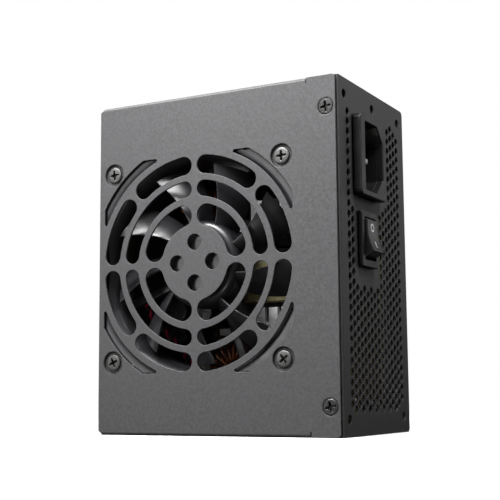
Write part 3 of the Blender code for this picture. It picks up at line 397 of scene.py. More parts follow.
def filleted(outline, radii, steps=4):
    """The outline with its corners rounded; radii is one number or one for each corner."""
    if not isinstance(radii, (list, tuple)):
        radii = [radii] * len(outline)
    rounded = []
    for i, radius in enumerate(radii):
        before, corner, after = (Vector(outline[j % len(outline)]) for j in (i - 1, i, i + 1))
        back, ahead = (before - corner).normalized(), (after - corner).normalized()
        half = back.angle(ahead) / 2
        if radius <= 0 or half > math.radians(88):
            rounded.append(tuple(corner))
            continue
        start, end = corner + back * radius / math.tan(half), corner + ahead * radius / math.tan(half)
        centre = corner + (back + ahead).normalized() * radius / math.sin(half)
        a, b = start - centre, end - centre
        turn = math.atan2(a.x * b.y - a.y * b.x, a.dot(b))
        for k in range(steps + 1):
            t = turn * k / steps
            rounded.append((centre.x + a.x * math.cos(t) - a.y * math.sin(t),
                            centre.y + a.x * math.sin(t) + a.y * math.cos(t)))
    return rounded


def shifted(outline, x, y):
    return [(px + x, py + y) for px, py in outline]


def evaluated(obj):
    """The object's final shape as a bmesh; the object is removed."""
    mesh = bpy.data.meshes.new_from_object(obj.evaluated_get(bpy.context.evaluated_depsgraph_get()))
    shape = bmesh.new()
    shape.from_mesh(mesh)
    bpy.data.meshes.remove(mesh)
    bpy.data.objects.remove(obj)
    return shape


def linked(data):
    obj = bpy.data.objects.new("shaping", data)
    SCENE.collection.objects.link(obj)
    return obj


def as_mesh(shape, name="shape"):
    mesh = bpy.data.meshes.new(name)
    shape.to_mesh(mesh)
    shape.free()
    return mesh


def merged(*shapes):
    whole = bmesh.new()
    for shape in shapes:
        mesh = as_mesh(shape)
        whole.from_mesh(mesh)
        bpy.data.meshes.remove(mesh)
    return whole


def curve_shape(outlines, cyclic=True, **settings):
    """The solid that Blender makes from a curve through each outline's points."""
    curve = bpy.data.curves.new("outline", "CURVE")
    for key, value in settings.items():
        setattr(curve, key, value)
    for outline in outlines:
        spline = curve.splines.new("POLY")
        spline.points.add(len(outline) - 1)
        for point, where in zip(spline.points, outline):
            point.co = (*Vector(where).to_3d(), 1)
        spline.use_cyclic_u = cyclic
    return evaluated(linked(curve))


def plate(outlines, axis, low, high, rounding=0.0, segments=2):
    """A flat piece between low and high along an axis, its edges rounded: an outline, then its holes."""
    shape = curve_shape(outlines, dimensions="2D", fill_mode="BOTH", extrude=(high - low) / 2 - rounding,
                        bevel_depth=rounding, bevel_resolution=segments, offset=-rounding)
    bmesh.ops.remove_doubles(shape, verts=shape.verts, dist=0.002)
    middle = (low + high) / 2
    for vert in shape.verts:
        across, up, level = vert.co
        level += middle
        vert.co = {"X": (level, across, up), "Y": (across, level, up), "Z": (across, up, level)}[axis]
    if axis == "Y":
        bmesh.ops.reverse_faces(shape, faces=shape.faces)
    return shape


def lofted(rings, closed=False, caps=False):
    """A skin over rings of points; a ring may be a single point."""
    shape = bmesh.new()
    rings = [[shape.verts.new(point) for point in ring] for ring in rings]
    steps = max(len(ring) for ring in rings)
    for near, far in zip(rings, rings[1:] + rings[:1] if closed else rings[1:]):
        for i in range(steps):
            j = (i + 1) % steps
            corners = (near[i % len(near)], near[j % len(near)], far[j % len(far)], far[i % len(far)])
            corners = list(dict.fromkeys(corners))
            if len(corners) > 2:
                shape.faces.new(corners)
    if caps:
        shape.faces.new(rings[0])
        shape.faces.new(rings[-1])
    bmesh.ops.recalc_face_normals(shape, faces=shape.faces)
    return shape


def turned(profile, centre, direction, steps=64, closed=False):
    """(radius, height) points turned about a direction through the centre."""
    along = Vector(direction).normalized()
    across = along.orthogonal().normalized()
    aside = along.cross(across)
    rings = []
    for radius, height in profile:
        middle = Vector(centre) + along * height
        count = steps if radius > 0.0001 else 1
        angles = [2 * math.pi * i / count for i in range(count)]
        rings.append([middle + (across * math.cos(a) + aside * math.sin(a)) * radius for a in angles])
    return lofted(rings, closed)


def tube(points, radius, cyclic=False, sides=3):
    """A round wire through points."""
    return curve_shape([points], cyclic, dimensions="3D", bevel_depth=radius, bevel_resolution=sides,
                       use_fill_caps=not cyclic)


def block(low, high, rounding=0.0, segments=2):
    low, high = Vector(low), Vector(high)
    shape = bmesh.new()
    bmesh.ops.create_cube(shape, size=1)
    for vert in shape.verts:
        vert.co = (low + high) / 2 + Vector(side * (b - a) for side, a, b in zip(vert.co, low, high))
    if rounding:
        bmesh.ops.bevel(shape, geom=list(shape.edges), offset=rounding, segments=segments, profile=0.5,
                        affect="EDGES")
    return shape


def carved(shape, *tools, operation="DIFFERENCE"):
    """The shape with each tool cut from it, or joined to it."""
    obj = linked(as_mesh(shape))
    helpers = []
    for tool in tools:
        helper = linked(as_mesh(tool))
        helpers.append(helper)
        modifier = obj.modifiers.new("carve", "BOOLEAN")
        modifier.operation = operation
        modifier.solver = "EXACT"
        modifier.object = helper
    result = evaluated(obj)
    for helper in helpers:
        bpy.data.objects.remove(helper)
    return result


def smooth_path(stops, points_each=8):
    """Points of a smooth curve through the stops (Catmull-Rom)."""
    stops = [Vector(stop) for stop in stops]
    ends = [2 * stops[0] - stops[1]] + stops + [2 * stops[-1] - stops[-2]]
    path = []
    for a, b, c, d in zip(ends, ends[1:], ends[2:], ends[3:]):
        for i in range(points_each):
            t = i / points_each
            path.append(0.5 * (2 * b + (c - a) * t + (2 * a - 5 * b + 4 * c - d) * t ** 2
                               + (3 * b - a - 3 * c + d) * t ** 3))
    return path + [stops[-1]]


def fold(shape, origin, outwards, inwards, applies=lambda point: True, radius=BEND, steps=6):
    """Folds a flat sheet by 90 degrees beyond a line, towards its inner side.

    origin lies on the line, on the sheet's outer face; outwards runs in the sheet, away from the line.
    """
    origin, outwards, inwards = Vector(origin), Vector(outwards), Vector(inwards)
    neutral = radius - SHEET / 2
    length = neutral * math.pi / 2
    for i in range(steps + 1):
        line = origin + outwards * length * i / steps
        bmesh.ops.bisect_plane(shape, geom=list(shape.verts) + list(shape.edges) + list(shape.faces),
                               plane_co=line, plane_no=outwards, dist=0.0005)
    for vert in shape.verts:
        offset = vert.co - origin
        beyond, depth = offset.dot(outwards), offset.dot(inwards)
        if beyond <= 0 or not applies(vert.co):
            continue
        angle = min(beyond / neutral, math.pi / 2)
        along = offset - outwards * beyond - inwards * depth
        vert.co = (origin + along + inwards * (radius + max(0, beyond - length))
                   + (outwards * math.sin(angle) - inwards * math.cos(angle)) * (radius - depth))


def flat_patches(shape):
    """Each face's flat patch, as the area of all the faces that lie in one plane with it and touch it."""
    patch, areas = {}, []
    for first in shape.faces:
        if first in patch:
            continue
        patch[first] = len(areas)
        waiting, area = [first], 0.0
        while waiting:
            face = waiting.pop()
            area += face.calc_area()
            for edge in face.edges:
                for other in edge.link_faces:
                    if other not in patch and other.normal.dot(first.normal) > 0.99999:
                        patch[other] = len(areas)
                        waiting.append(other)
        areas.append(area)
    return patch, areas


def shading_normals(shape, sharp):
    """A normal for each face corner: flat faces stay flat, and roundings run smoothly into them."""
    patch, areas = flat_patches(shape)
    limit = math.cos(math.radians(sharp))
    normals = {}
    for vert in shape.verts:
        faces = list(vert.link_faces)
        while faces:
            group, waiting = [], [faces.pop()]
            while waiting:
                face = waiting.pop()
                group.append(face)
                near = [other for edge in face.edges if vert in edge.verts for other in edge.link_faces
                        if other in faces and other.normal.dot(face.normal) > limit]
                for other in dict.fromkeys(near):
                    faces.remove(other)
                    waiting.append(other)
            total = Vector()
            for number, face in {patch[face]: face for face in group}.items():
                total += face.normal * areas[number]
            for face in group:
                normals[face.index, vert.index] = total.normalized()
    return [normals[face.index, loop.vert.index] for face in shape.faces for loop in face.loops]


def add_piece(name, shape, slot, *stands_for, body="housing", sharp=38, finish=None):
    """Links a piece, its shape in case millimetres. Its finish is the slot's own unless one is named."""
    shape.normal_update()
    shape.verts.index_update()
    shape.faces.index_update()
    normals = shading_normals(shape, sharp)
    mesh = as_mesh(shape, name)
    mesh.transform(Matrix.Translation(CORNER) @ Matrix.Scale(MM, 4))
    mesh.shade_smooth()
    mesh.normals_split_custom_set(normals)
    mesh.materials.clear()
    mesh.materials.append(FINISHES[finish or slot])
    obj = bpy.data.objects.new(name, mesh)
    SCENE.collection.objects.link(obj)
    if stands_for:
        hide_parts(*stands_for)
    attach(obj, body)
    return obj


# ---- sheet metal case

SPOKE = 2.2
RING_SLOTS = ((14.0, 22.0, 4), (24.5, 30.5, 4), (32.9, 39.8, 8))
CORNER_SLOT = (42.3, 45.9, 40)
HUB_HOLE_CIRCLE = 7.5
WALL_END = 88
TAB_START = 88.3
TAB_END = COVER[1].x + 0.4
TAB_CHAMFER = 1.0
NOTCH = 1.5                                    # relief cut into each bend at the cable end
HEAD_HOLE = 3.25
FAN_SEAT_RIM = 4.3
COVER_SEAT_RIM = 3.2


def node_centre(name):
    return sum(node_box(name), Vector()) / 2


def screw_places(kind, count):
    centres = (node_centre(f"{kind}_screw_{i + 1}") for i in range(count))
    return [(centre.x, centre.z) for centre in centres]


FAN_SCREW_PLACES = screw_places("fan", 4)
COVER_SCREW_PLACES = screw_places("cover", 2)
SIDE_SCREW = node_centre("cover_screw_3")


def ring_slot(inner, outer, start, end):
    """One slot of the grille between two spokes at angles start and end, its ends fully round."""
    middle = (inner + outer) / 2
    round_end = (outer - inner) / 2
    margin = math.degrees(math.asin((SPOKE / 2 + round_end) / middle))
    first, last = start + margin, end - margin
    steps = max(6, round((last - first) / 2.5))

    def cap(angle, turn):
        a = math.radians(angle)
        return arc((middle * math.cos(a), middle * math.sin(a)), round_end, turn, turn + 180, 14)[1:-1]

    return (arc((0, 0), outer, first, last, steps) + cap(last, last)
            + arc((0, 0), inner, last, first, steps) + cap(first, first + 180))


def corner_slot(turn):
    """The crescent in one corner of the grille, clipped flat by the fan's own outline."""
    inner, outer, clip = CORNER_SLOT
    tip = 0.6
    start = math.degrees(math.acos(clip / outer))
    tip_x = clip - tip
    tip_y = math.sqrt((inner + tip) ** 2 - tip_x ** 2)
    tip_angle = math.degrees(math.atan2(tip_y, tip_x))
    outline = arc((0, 0), outer, start, 90 - start, 20)
    outline += arc((tip_y, tip_x), tip, 90, 270 - tip_angle, 6)
    outline += arc((0, 0), inner, 90 - tip_angle, tip_angle, 24)[1:-1]
    outline += arc((tip_x, tip_y), tip, tip_angle - 180, 0, 6)
    cos, sin = math.cos(math.radians(turn)), math.sin(math.radians(turn))
    return [(x * cos - y * sin, x * sin + y * cos) for x, y in outline]


def grille_outlines():
    outlines = []
    for inner, outer, count in RING_SLOTS:
        pitch = 360 / count
        outlines += [ring_slot(inner, outer, i * pitch, (i + 1) * pitch) for i in range(count)]
    for quarter in range(4):
        outlines.append(corner_slot(quarter * 90))
        a = math.radians(quarter * 90)
        outlines.append(circle((HUB_HOLE_CIRCLE * math.cos(a), HUB_HOLE_CIRCLE * math.sin(a)), 3, 32))
    return [shifted(outline, FAN.x, FAN.z) for outline in outlines]


def dimple(x, z, rim, bottom, depth, hole):
    """A pressed-in seat round a screw: a soft shoulder, a sloping side and a flat floor with a hole."""
    profile = [(rim, 0.9 * SHEET), (rim, 0.02)]
    for i in range(1, 9):
        t = i / 8
        profile.append((rim + (bottom - rim) * t, 0.02 + depth * (3 * t * t - 2 * t ** 3)))
    back = max(SHEET, depth + 0.3)
    profile += [(hole, depth + 0.02), (hole, back), (bottom, back), (rim, 0.9 * SHEET)]
    return turned([(r, -h) for r, h in profile], (x, 0, z), (0, -1, 0))


def make_cover():
    """Cut from a flat blank like the real one, then folded over both long sides."""
    flat = WIDTH / 2 - BEND
    length = (BEND - SHEET / 2) * math.pi / 2
    reach = flat + length + THICKNESS - BEND
    middle = WIDTH / 2
    root = middle - 2
    half = [(0, flat - 0.3), (NOTCH, flat + length / 2), (0, flat + length + 0.8), (0, reach),
            (WALL_END, reach), (WALL_END, root), (TAB_START, root), (TAB_START, middle),
            (TAB_END - TAB_CHAMFER, middle), (TAB_END, middle - TAB_CHAMFER)]
    blank = [(x, middle + z) for x, z in half]
    blank = [(x, middle - z) for x, z in half] + blank[::-1]
    rims = [circle(place, FAN_SEAT_RIM, 64) for place in FAN_SCREW_PLACES]
    rims += [circle(place, COVER_SEAT_RIM, 64) for place in COVER_SCREW_PLACES]
    side = flat + length + SIDE_SCREW.y - BEND
    rims += [circle((SIDE_SCREW.x, middle + side * way), HEAD_HOLE) for way in (-1, 1)]
    cover = plate([blank] + grille_outlines() + rims, "Y", 0, SHEET, rounding=0.14)
    limit = (WALL_END + TAB_START) / 2
    for way in (-1, 1):
        fold(cover, (0, 0, middle + way * flat), (0, 0, way), (0, 1, 0), lambda point: point.x < limit)
    seats = [dimple(x, z, FAN_SEAT_RIM, 3.8, 0.78, 2.35) for x, z in FAN_SCREW_PLACES]
    seats += [dimple(x, z, COVER_SEAT_RIM, 3.05, 0.1, 2.9) for x, z in COVER_SCREW_PLACES]
    add_piece("cover", cover, "black_powder_coat", "cover_shell")
    # the seats' coat paints shade into the dimples round the screws
    add_piece("cover_screw_seats", merged(*seats), "black_powder_coat", finish="seat_coat")


HEX_PITCH = 3.65
HEX_FLATS = 2.8
HEX_COLUMN = HEX_PITCH * math.cos(math.radians(30))
HEX_ORIGIN = (8.7, 11.0, 9.2)
HEX_ROWS = (
    (0, 28), (0, 19), (0, 11), (0, 11), (0, 11), (0, 11), (0, 11), (0, 11),
    (0, 11), (0, 19), (0, 19), (0, 20), (0, 28), (0, 29), (0, 28), (1, 28),
)
FIXING_HOLES = ((6, 6), (57.5, 6), (6, 119), (31.75, 119), (57.5, 119))
PANEL_BEND = 0.9                               # outer radius
FLANGE = 5.5
FLANGE_END = 18.4                              # from either side wall


def hexagon_outlines():
    radius = HEX_FLATS / 2 / math.cos(math.radians(30))
    first_y, even_z, odd_z = HEX_ORIGIN
    outlines = []
    for column, (first, last) in enumerate(HEX_ROWS):
        low = odd_z if column % 2 else even_z
        for row in range(first, last + 1):
            hexagon = circle((first_y + column * HEX_COLUMN, low + row * HEX_PITCH), radius, 6)
            outlines.append(filleted(hexagon, 0.25, 2))
    return outlines


def make_rear_panel():
    """The perforated panel; its edge beside the fan face is folded back under the cover's tab."""
    low, high = node_box("rear_panel")
    start = low.y + PANEL_BEND
    root = start - (PANEL_BEND - SHEET / 2) * math.pi / 2
    edge = root - FLANGE
    bottom, top = FLANGE_END, high.z - FLANGE_END
    far = [point for point in rectangle((low.y, low.z), (high.y, high.z), 1.8) if point[0] > THICKNESS / 2]
    outline = sorted(far, key=lambda point: point[1] > WIDTH / 2)
    outline += [(root, high.z), (root, top), (edge, top), (edge, bottom), (root, bottom), (root, low.z)]
    switch = node_box("switch_housing")
    inlet_hole = rectangle((SOCKET_Y[0], SOCKET_Z[0]), (SOCKET_Y[1], SOCKET_Z[1]), grow=SOCKET_WALL + 0.3)
    switch_hole = rectangle((switch[0].y + 0.8, switch[0].z + 1.1), (switch[1].y - 0.8, switch[1].z - 1.1))
    fixings = [circle(centre, 1.7, 32) for centre in FIXING_HOLES]
    panel = plate([outline, inlet_hole, switch_hole] + fixings + hexagon_outlines(), "X", low.x, high.x,
                  rounding=0.12, segments=1)
    fold(panel, (high.x, start, 0), (0, -1, 0), (-1, 0, 0), radius=PANEL_BEND)
    add_piece("rear_panel_plate", panel, "black_powder_coat", "rear_panel")


# ---- screws

def cross_recess(centre, direction, turn, size, depth):
    """The tapering cross that a Phillips driver fits, as a solid to cut with."""
    along = Vector(direction).normalized()
    across = Matrix.Rotation(math.radians(turn), 3, along) @ Vector((1, 0, 0))
    aside = along.cross(across)
    rings = []
    sections = ((0.6, size * 0.56, 0.62), (-0.05, size / 2, 0.52), (-depth, size * 0.24, 0.36))
    for level, arm, width in sections:
        outline = []
        for quarter in range(4):
            a = math.radians(90 * quarter)
            for x, y in ((width, width), (arm, width * 0.8), (arm, -width * 0.8)):
                outline.append((x * math.cos(-a) - y * math.sin(-a), x * math.sin(-a) + y * math.cos(-a)))
        rings.append([Vector(centre) + across * x + aside * y + along * level for x, y in outline])
    return lofted(rings, caps=True)


def screw(name, node, profile, centre, direction, turn, depth=1.2, size=4.0, finish="dark_screw"):
    head = carved(turned(profile, centre, direction, steps=48),
                  cross_recess(centre, direction, turn, size, depth))
    add_piece(name, head, "nickel_screw", node, sharp=30, finish=finish)


CORNER_TURNS = (14, 8)
FAN_TURNS = (24, 6, 38, 3)


def make_screws():
    flat = [(0, -0.02), (2.45, -0.03), (2.62, -0.08), (2.76, -0.22), (2.8, -0.4), (2.8, -0.8), (1.5, -0.8),
            (1.5, -5), (0, -5)]
    for i, (x, z) in enumerate(COVER_SCREW_PLACES, 1):
        screw(f"corner_screw_{i}", f"cover_screw_{i}", flat, (x, 0, z), (0, -1, 0), CORNER_TURNS[i - 1])
    for i, (z, way) in enumerate(((0, -1), (WIDTH, 1)), 3):
        screw(f"side_screw_{i - 2}", f"cover_screw_{i}", flat, (SIDE_SCREW.x, SIDE_SCREW.y, z), (0, 0, way),
              17 * i)
    domed = [(0, -0.05), (1.4, -0.07), (2.3, -0.12), (2.75, -0.2), (2.92, -0.32), (2.95, -0.5),
             (2.85, -0.62), (1.75, -0.75), (1.7, -9), (0, -9)]
    for i, (x, z) in enumerate(FAN_SCREW_PLACES, 1):
        screw(f"fan_fixing_{i}", f"fan_screw_{i}", domed, (x, 0, z), (0, -1, 0), FAN_TURNS[i - 1], 1.8,
              finish="nickel_screw")


# ---- mains inlet and switch

SOCKET_Y = (16.4, 33.0)
SOCKET_Z = (86.3, 111.0)
SOCKET_FLOOR = 88
SOCKET_CHAMFER = 5.5
SOCKET_WALL = 1.2


def panel_moulding(name, node, corner, well, outer, floor, overlaps, blades, clearance, rounding, segments):
    """A bezel on the rear panel, a shroud round its well, and a floor with a slot for each metal blade."""
    low, high = node_box(node)
    back = DEPTH + 0.3
    bezel = plate([rectangle((low.y, low.z), (high.y, high.z), corner), well], "X", back, high.x,
                  rounding=rounding, segments=segments)
    shroud = plate([outer, well], "X", floor - overlaps[0], back + overlaps[1])
    slots = []
    for blade in blades:
        (_, y0, z0), (_, y1, z1) = node_box(blade)
        slots.append(rectangle((y0, z0), (y1, z1), grow=clearance))
    bottom = plate([outer] + slots, "X", low.x, floor)
    add_piece(name, merged(bezel, shroud, bottom), "black_plastic", node)


def make_inlet():
    (y0, y1), (z0, z1) = SOCKET_Y, SOCKET_Z
    c = SOCKET_CHAMFER
    mouth = [(y0, z0), (y1 - c, z0), (y1, z0 + c), (y1, z1 - c), (y1 - c, z1), (y0, z1)]
    socket = filleted(mouth, (0.8, 1.2, 1.2, 1.2, 1.2, 0.8))
    outer = rectangle((y0, z0), (y1, z1), 0.5, grow=SOCKET_WALL)
    panel_moulding("inlet_shell", "ac_inlet", 2.0, socket, outer, SOCKET_FLOOR, (1, 0.5),
                   ["inlet_pin_line", "inlet_pin_neutral", "inlet_pin_earth"], 0.2, 0.45, 4)


ROCKER_Y = (18.0, 28.0)
ROCKER_Z = (61.8, 76.8)
PIVOT_X = 99
ROCKER_TILT = 12
ROCKER_GAP = 0.35                              # to either side of its well
SKIRT = (7.15, 78, 118)                        # radius and angles of the rocker's round ends
SWITCH_FLOOR = 91
END_X, END_Z = 5.2, 6.0
DISH_RADIUS = 19


def make_switch():
    low, high = node_box("switch_housing")
    well = rectangle((ROCKER_Y[0], ROCKER_Z[0]), (ROCKER_Y[1], ROCKER_Z[1]), 0.4, 3)
    outer = rectangle((low.y + 1.1, low.z + 1.4), (high.y - 1.1, high.z - 1.4), 0.3, 2)
    panel_moulding("switch_shell", "switch_housing", 0.8, well, outer, SWITCH_FLOOR, (0.5, 0.4),
                   ["switch_tab_1", "switch_tab_2"], 0.15, 0.35, 3)
    make_rocker()


def rocker_point(x, y, z):
    """A point of the upright rocker, tilted to its rest position in the case."""
    a = math.radians(-ROCKER_TILT)
    middle = Vector((PIVOT_X, sum(ROCKER_Y) / 2, sum(ROCKER_Z) / 2))
    return middle + Vector((x * math.cos(a) + z * math.sin(a), y, -x * math.sin(a) + z * math.cos(a)))


def dish_x(z):
    depth = DISH_RADIUS - math.sqrt(DISH_RADIUS ** 2 - END_Z ** 2)
    return END_X - depth + DISH_RADIUS - math.sqrt(DISH_RADIUS ** 2 - z * z)


def make_rocker():
    """The concave rocker on its two trunnions, and its printed marks."""
    skirt = arc((0, 0), *SKIRT, 12)
    dish = [(dish_x(-END_Z + 2 * END_Z * i / 24), -END_Z + 2 * END_Z * i / 24) for i in range(25)]
    outline = dish + skirt + [(x, -z) for x, z in reversed(skirt)]
    corner = {0: 0.5, 24: 0.5}
    outline = filleted(outline, [corner.get(i, 0) for i in range(len(outline))], 4)
    half_width = (ROCKER_Y[1] - ROCKER_Y[0]) / 2 - ROCKER_GAP
    body = plate([outline], "Y", -half_width, half_width, rounding=0.3, segments=3)
    trunnion = turned([(0, half_width + 0.9), (1.0, half_width + 0.9), (1.2, half_width + 0.7),
                       (1.2, -half_width - 0.7), (1.0, -half_width - 0.9), (0, -half_width - 0.9)],
                      (0, 0, 0), (0, 1, 0), steps=32)
    rocker = merged(body, trunnion)
    for vert in rocker.verts:
        vert.co = rocker_point(*vert.co)
    add_piece("rocker_cap", rocker, "rocker_plastic", "switch_rocker", body="rocker")
    # the marks lie on the dished face: y across it, z along it
    ring = [circle((0, 3.1), 1.55, 40), circle((0, 3.1), 0.95, 40)]
    bar = [rectangle((-0.24, -4.5), (0.24, -1.9), 0.2, 3)]
    for name, outlines in (("rocker_mark_off", ring), ("rocker_mark_on", bar)):
        mark = plate(outlines, "X", -0.04, 0.035)
        bmesh.ops.subdivide_edges(mark, edges=list(mark.edges), cuts=1)
        for vert in mark.verts:
            x, y, z = vert.co
            vert.co = rocker_point(dish_x(z) + x, y, z)
        add_piece(name, mark, "white_nylon", body="rocker", finish="mark_paint")


# ---- fan

DUCT_RADIUS = 38.6
MOUTH_RADIUS = 45.5
FLARE_DEPTH = 6
HUB_RADIUS = 16.3
HUB_RIM = 3
HUB_FRONT = FAN_FRONT + 1.5
HUB_DEPTH = 10
BLADES = 9
BLADE_TIP = 37.2
BLADE_Y = (3.4, 12)
BLADE_TURN = 14.5
BLADE_HALF_ANGLE = 10.5
BLADE_SWEEP = 16
BLADE_CAMBER = 0.9
STRUTS = (20, 110, 200, 290)


def make_fan_frame():
    """Square frame with a flared duct, and a motor plate on four thin struts."""
    (x0, y0, z0), (x1, y1, z1) = node_box("fan_frame")
    frame_plate = plate([rectangle((x0, z0), (x1, z1), 4, 8)], "Y", y0, y1, rounding=0.4)
    flare = [(DUCT_RADIUS + (MOUTH_RADIUS - DUCT_RADIUS) * (1 - math.sin(math.radians(a))),
              -FLARE_DEPTH * (1 - math.cos(math.radians(a)))) for a in range(0, 91, 9)]
    duct = turned([(0, 1), (MOUTH_RADIUS, 1)] + flare + [(DUCT_RADIUS, -16), (0, -16)],
                  (FAN.x, FAN_FRONT, FAN.z), (0, -1, 0), steps=128)
    holes = [turned([(0, 1), (2.15, 1), (2.15, -16), (0, -16)], (x, FAN_FRONT, z), (0, -1, 0), steps=32)
             for x, z in FAN_SCREW_PLACES]
    shell = carved(frame_plate, duct, *holes)
    disc = turned([(0, 0), (HUB_RADIUS - 0.6, 0), (HUB_RADIUS, 0.5), (HUB_RADIUS, 1.8), (0, 1.8)],
                  (FAN.x, FAN_BACK - 1.8, FAN.z), (0, 1, 0), steps=64)
    parts = [shell, disc]
    to_back = Matrix.Translation((FAN.x, FAN_BACK, FAN.z))
    for degrees in STRUTS:
        strut = block((HUB_RADIUS - 1, -2.6, -1.6), (DUCT_RADIUS + 1, 0, 1.6), 0.5, 3)
        strut.transform(to_back @ Matrix.Rotation(math.radians(-degrees), 4, "Y"))
        parts.append(strut)
    add_piece("fan_housing", merged(*parts), "fan_plastic", "fan_frame")


def blade_point(turn, t, s):
    """A point of a blade's middle surface; t from root to tip, s from the leading to the trailing edge."""
    root = HUB_RADIUS - 0.6
    radius = root + (BLADE_TIP - root) * t
    trim = 1 - 0.06 * max(0, t - 0.9) * 10
    angle = math.radians(turn + BLADE_SWEEP * t + BLADE_HALF_ANGLE * trim * (1 - 2 * s))
    depth = BLADE_Y[0] + (BLADE_Y[1] - BLADE_Y[0]) * s - BLADE_CAMBER * math.sin(math.pi * s)
    return Vector((FAN.x + radius * math.cos(angle), depth, FAN.z + radius * math.sin(angle)))


def make_rotor():
    """A cup hub with a rounded rim, and nine cambered blades thinned towards both edges."""
    rim = arc((HUB_RADIUS - HUB_RIM, -HUB_RIM), HUB_RIM, 90, 0, 12)
    inner = HUB_RADIUS - 1.5
    profile = [(0, 0)] + rim + [(HUB_RADIUS, -HUB_DEPTH), (inner, -HUB_DEPTH), (inner, -2.6),
                                (inner - 1, -1.5), (0, -1.5)]
    hub = turned(profile, (FAN.x, HUB_FRONT, FAN.z), (0, -1, 0), steps=96)
    radial, chordwise = 10, 9
    blades = bmesh.new()
    for number in range(BLADES):
        turn = BLADE_TURN + 360 / BLADES * number
        sides = []
        for side in (-1, 1):
            rows = []
            for i in range(radial + 1):
                t = i / radial
                row = []
                for j in range(chordwise + 1):
                    s = j / chordwise
                    here = blade_point(turn, t, s)
                    ahead, out = blade_point(turn, t, s + 0.01), blade_point(turn, t + 0.01, s)
                    normal = (ahead - here).cross(out - here).normalized()
                    thickness = 0.28 + 0.42 * math.sqrt(max(0, math.sin(math.pi * min(1, s * 0.9 + 0.05))))
                    thickness *= 1 - 0.25 * t
                    row.append(blades.verts.new(here + normal * side * thickness))
                rows.append(row)
            sides.append(rows)
            for near, far in zip(rows, rows[1:]):
                for j in range(chordwise):
                    blades.faces.new((near[j], near[j + 1], far[j + 1], far[j]))
        back, front = sides
        for i in range(radial):
            for j in (0, chordwise):
                blades.faces.new((back[i][j], back[i + 1][j], front[i + 1][j], front[i][j]))
        for j in range(chordwise):
            for i in (0, radial):
                blades.faces.new((back[i][j], back[i][j + 1], front[i][j + 1], front[i][j]))
    bmesh.ops.recalc_face_normals(blades, faces=blades.faces)
    rims = [edge for edge in blades.edges if edge.calc_face_angle(0) > math.radians(50)]
    bmesh.ops.bevel(blades, geom=rims, offset=0.22, segments=2, profile=0.5, affect="EDGES",
                    clamp_overlap=True)
    add_piece("fan_impeller", merged(hub, blades), "fan_plastic", "fan_rotor", body="fan_rotor", sharp=50)


def make_fan_leads():
    """A twisted pair from the motor, along a strut and down to its plug."""
    spine = smooth_path([(25.6, 17.8, 56.4), (10.6, 18.2, 50.6), (11.6, 21.6, 43.1), (22.6, 24.6, 31.1),
                         (23.1, 32.6, 21.6), (19.8, 45.2, 18)], 26)
    pitch, twist_radius, wire_radius = 5.2, 0.72, 0.62
    for colour, phase in (("red", 0), ("black", math.pi)):
        points, run = [], 0.0
        for i, point in enumerate(spine):
            before, after = spine[max(0, i - 1)], spine[min(len(spine) - 1, i + 1)]
            along = (after - before).normalized()
            across = along.cross(Vector((0, 1, 0.2))).normalized()
            aside = along.cross(across)
            run += (point - before).length
            a = phase + run / pitch * 2 * math.pi
            points.append(point + (across * math.cos(a) + aside * math.sin(a)) * twist_radius)
        add_piece(f"fan_lead_pair_{colour}", tube(points, wire_radius), f"{colour}_wire",
                  f"fan_lead_{colour}")


# ---- components on the board

WOUND = {                               # ring and wire radii, half the core's section, turns, axis
    "pfc_choke": (7.6, 0.55, (3.7, 3.7), 34, (0, 0, 1)),
    "output_choke": (7.8, 0.8, (3.6, 5.0), 24, (0, 1, 0)),
    "line_filter_choke": (5.4, 0.5, (2.6, 4.5), 26, (0, 1, 0)),
}
TURN_STEPS = 20                         # points in each turn of wire
SQUARENESS = 0.55                       # of a turn: 1 is round, less follows the core's corners


def make_chokes():
    """Ring cores wound with enamelled wire, one layer all the way round."""
    for name, (ring, wire_radius, (half_width, half_height), turns, axis) in WOUND.items():
        low, high = node_box(name)
        centre = (low + high) / 2
        along = Vector(axis)
        across = along.orthogonal().normalized()
        aside = along.cross(across)
        inner, outer, top = ring - half_width, ring + half_width, half_height - 0.1
        section = filleted([(outer, top), (outer, -top), (inner, -top), (inner, top)], 0.8)
        core = turned(section, centre, along, closed=True)
        wide, tall = half_width + wire_radius - 0.1, half_height + wire_radius - 0.1
        points = []
        for i in range(turns * TURN_STEPS):
            around = 2 * math.pi * i / (turns * TURN_STEPS)
            a = 2 * math.pi * i / TURN_STEPS
            u = math.copysign(abs(math.cos(a)) ** SQUARENESS, math.cos(a)) * wide
            v = math.copysign(abs(math.sin(a)) ** SQUARENESS, math.sin(a)) * tall
            radial = across * math.cos(around) + aside * math.sin(around)
            points.append(centre + radial * (ring + u) + along * v)
        add_piece(name + "_winding", tube(points, wire_radius, cyclic=True, sides=2), "copper_wire", name)
        add_piece(name + "_core", core, "ferrite")


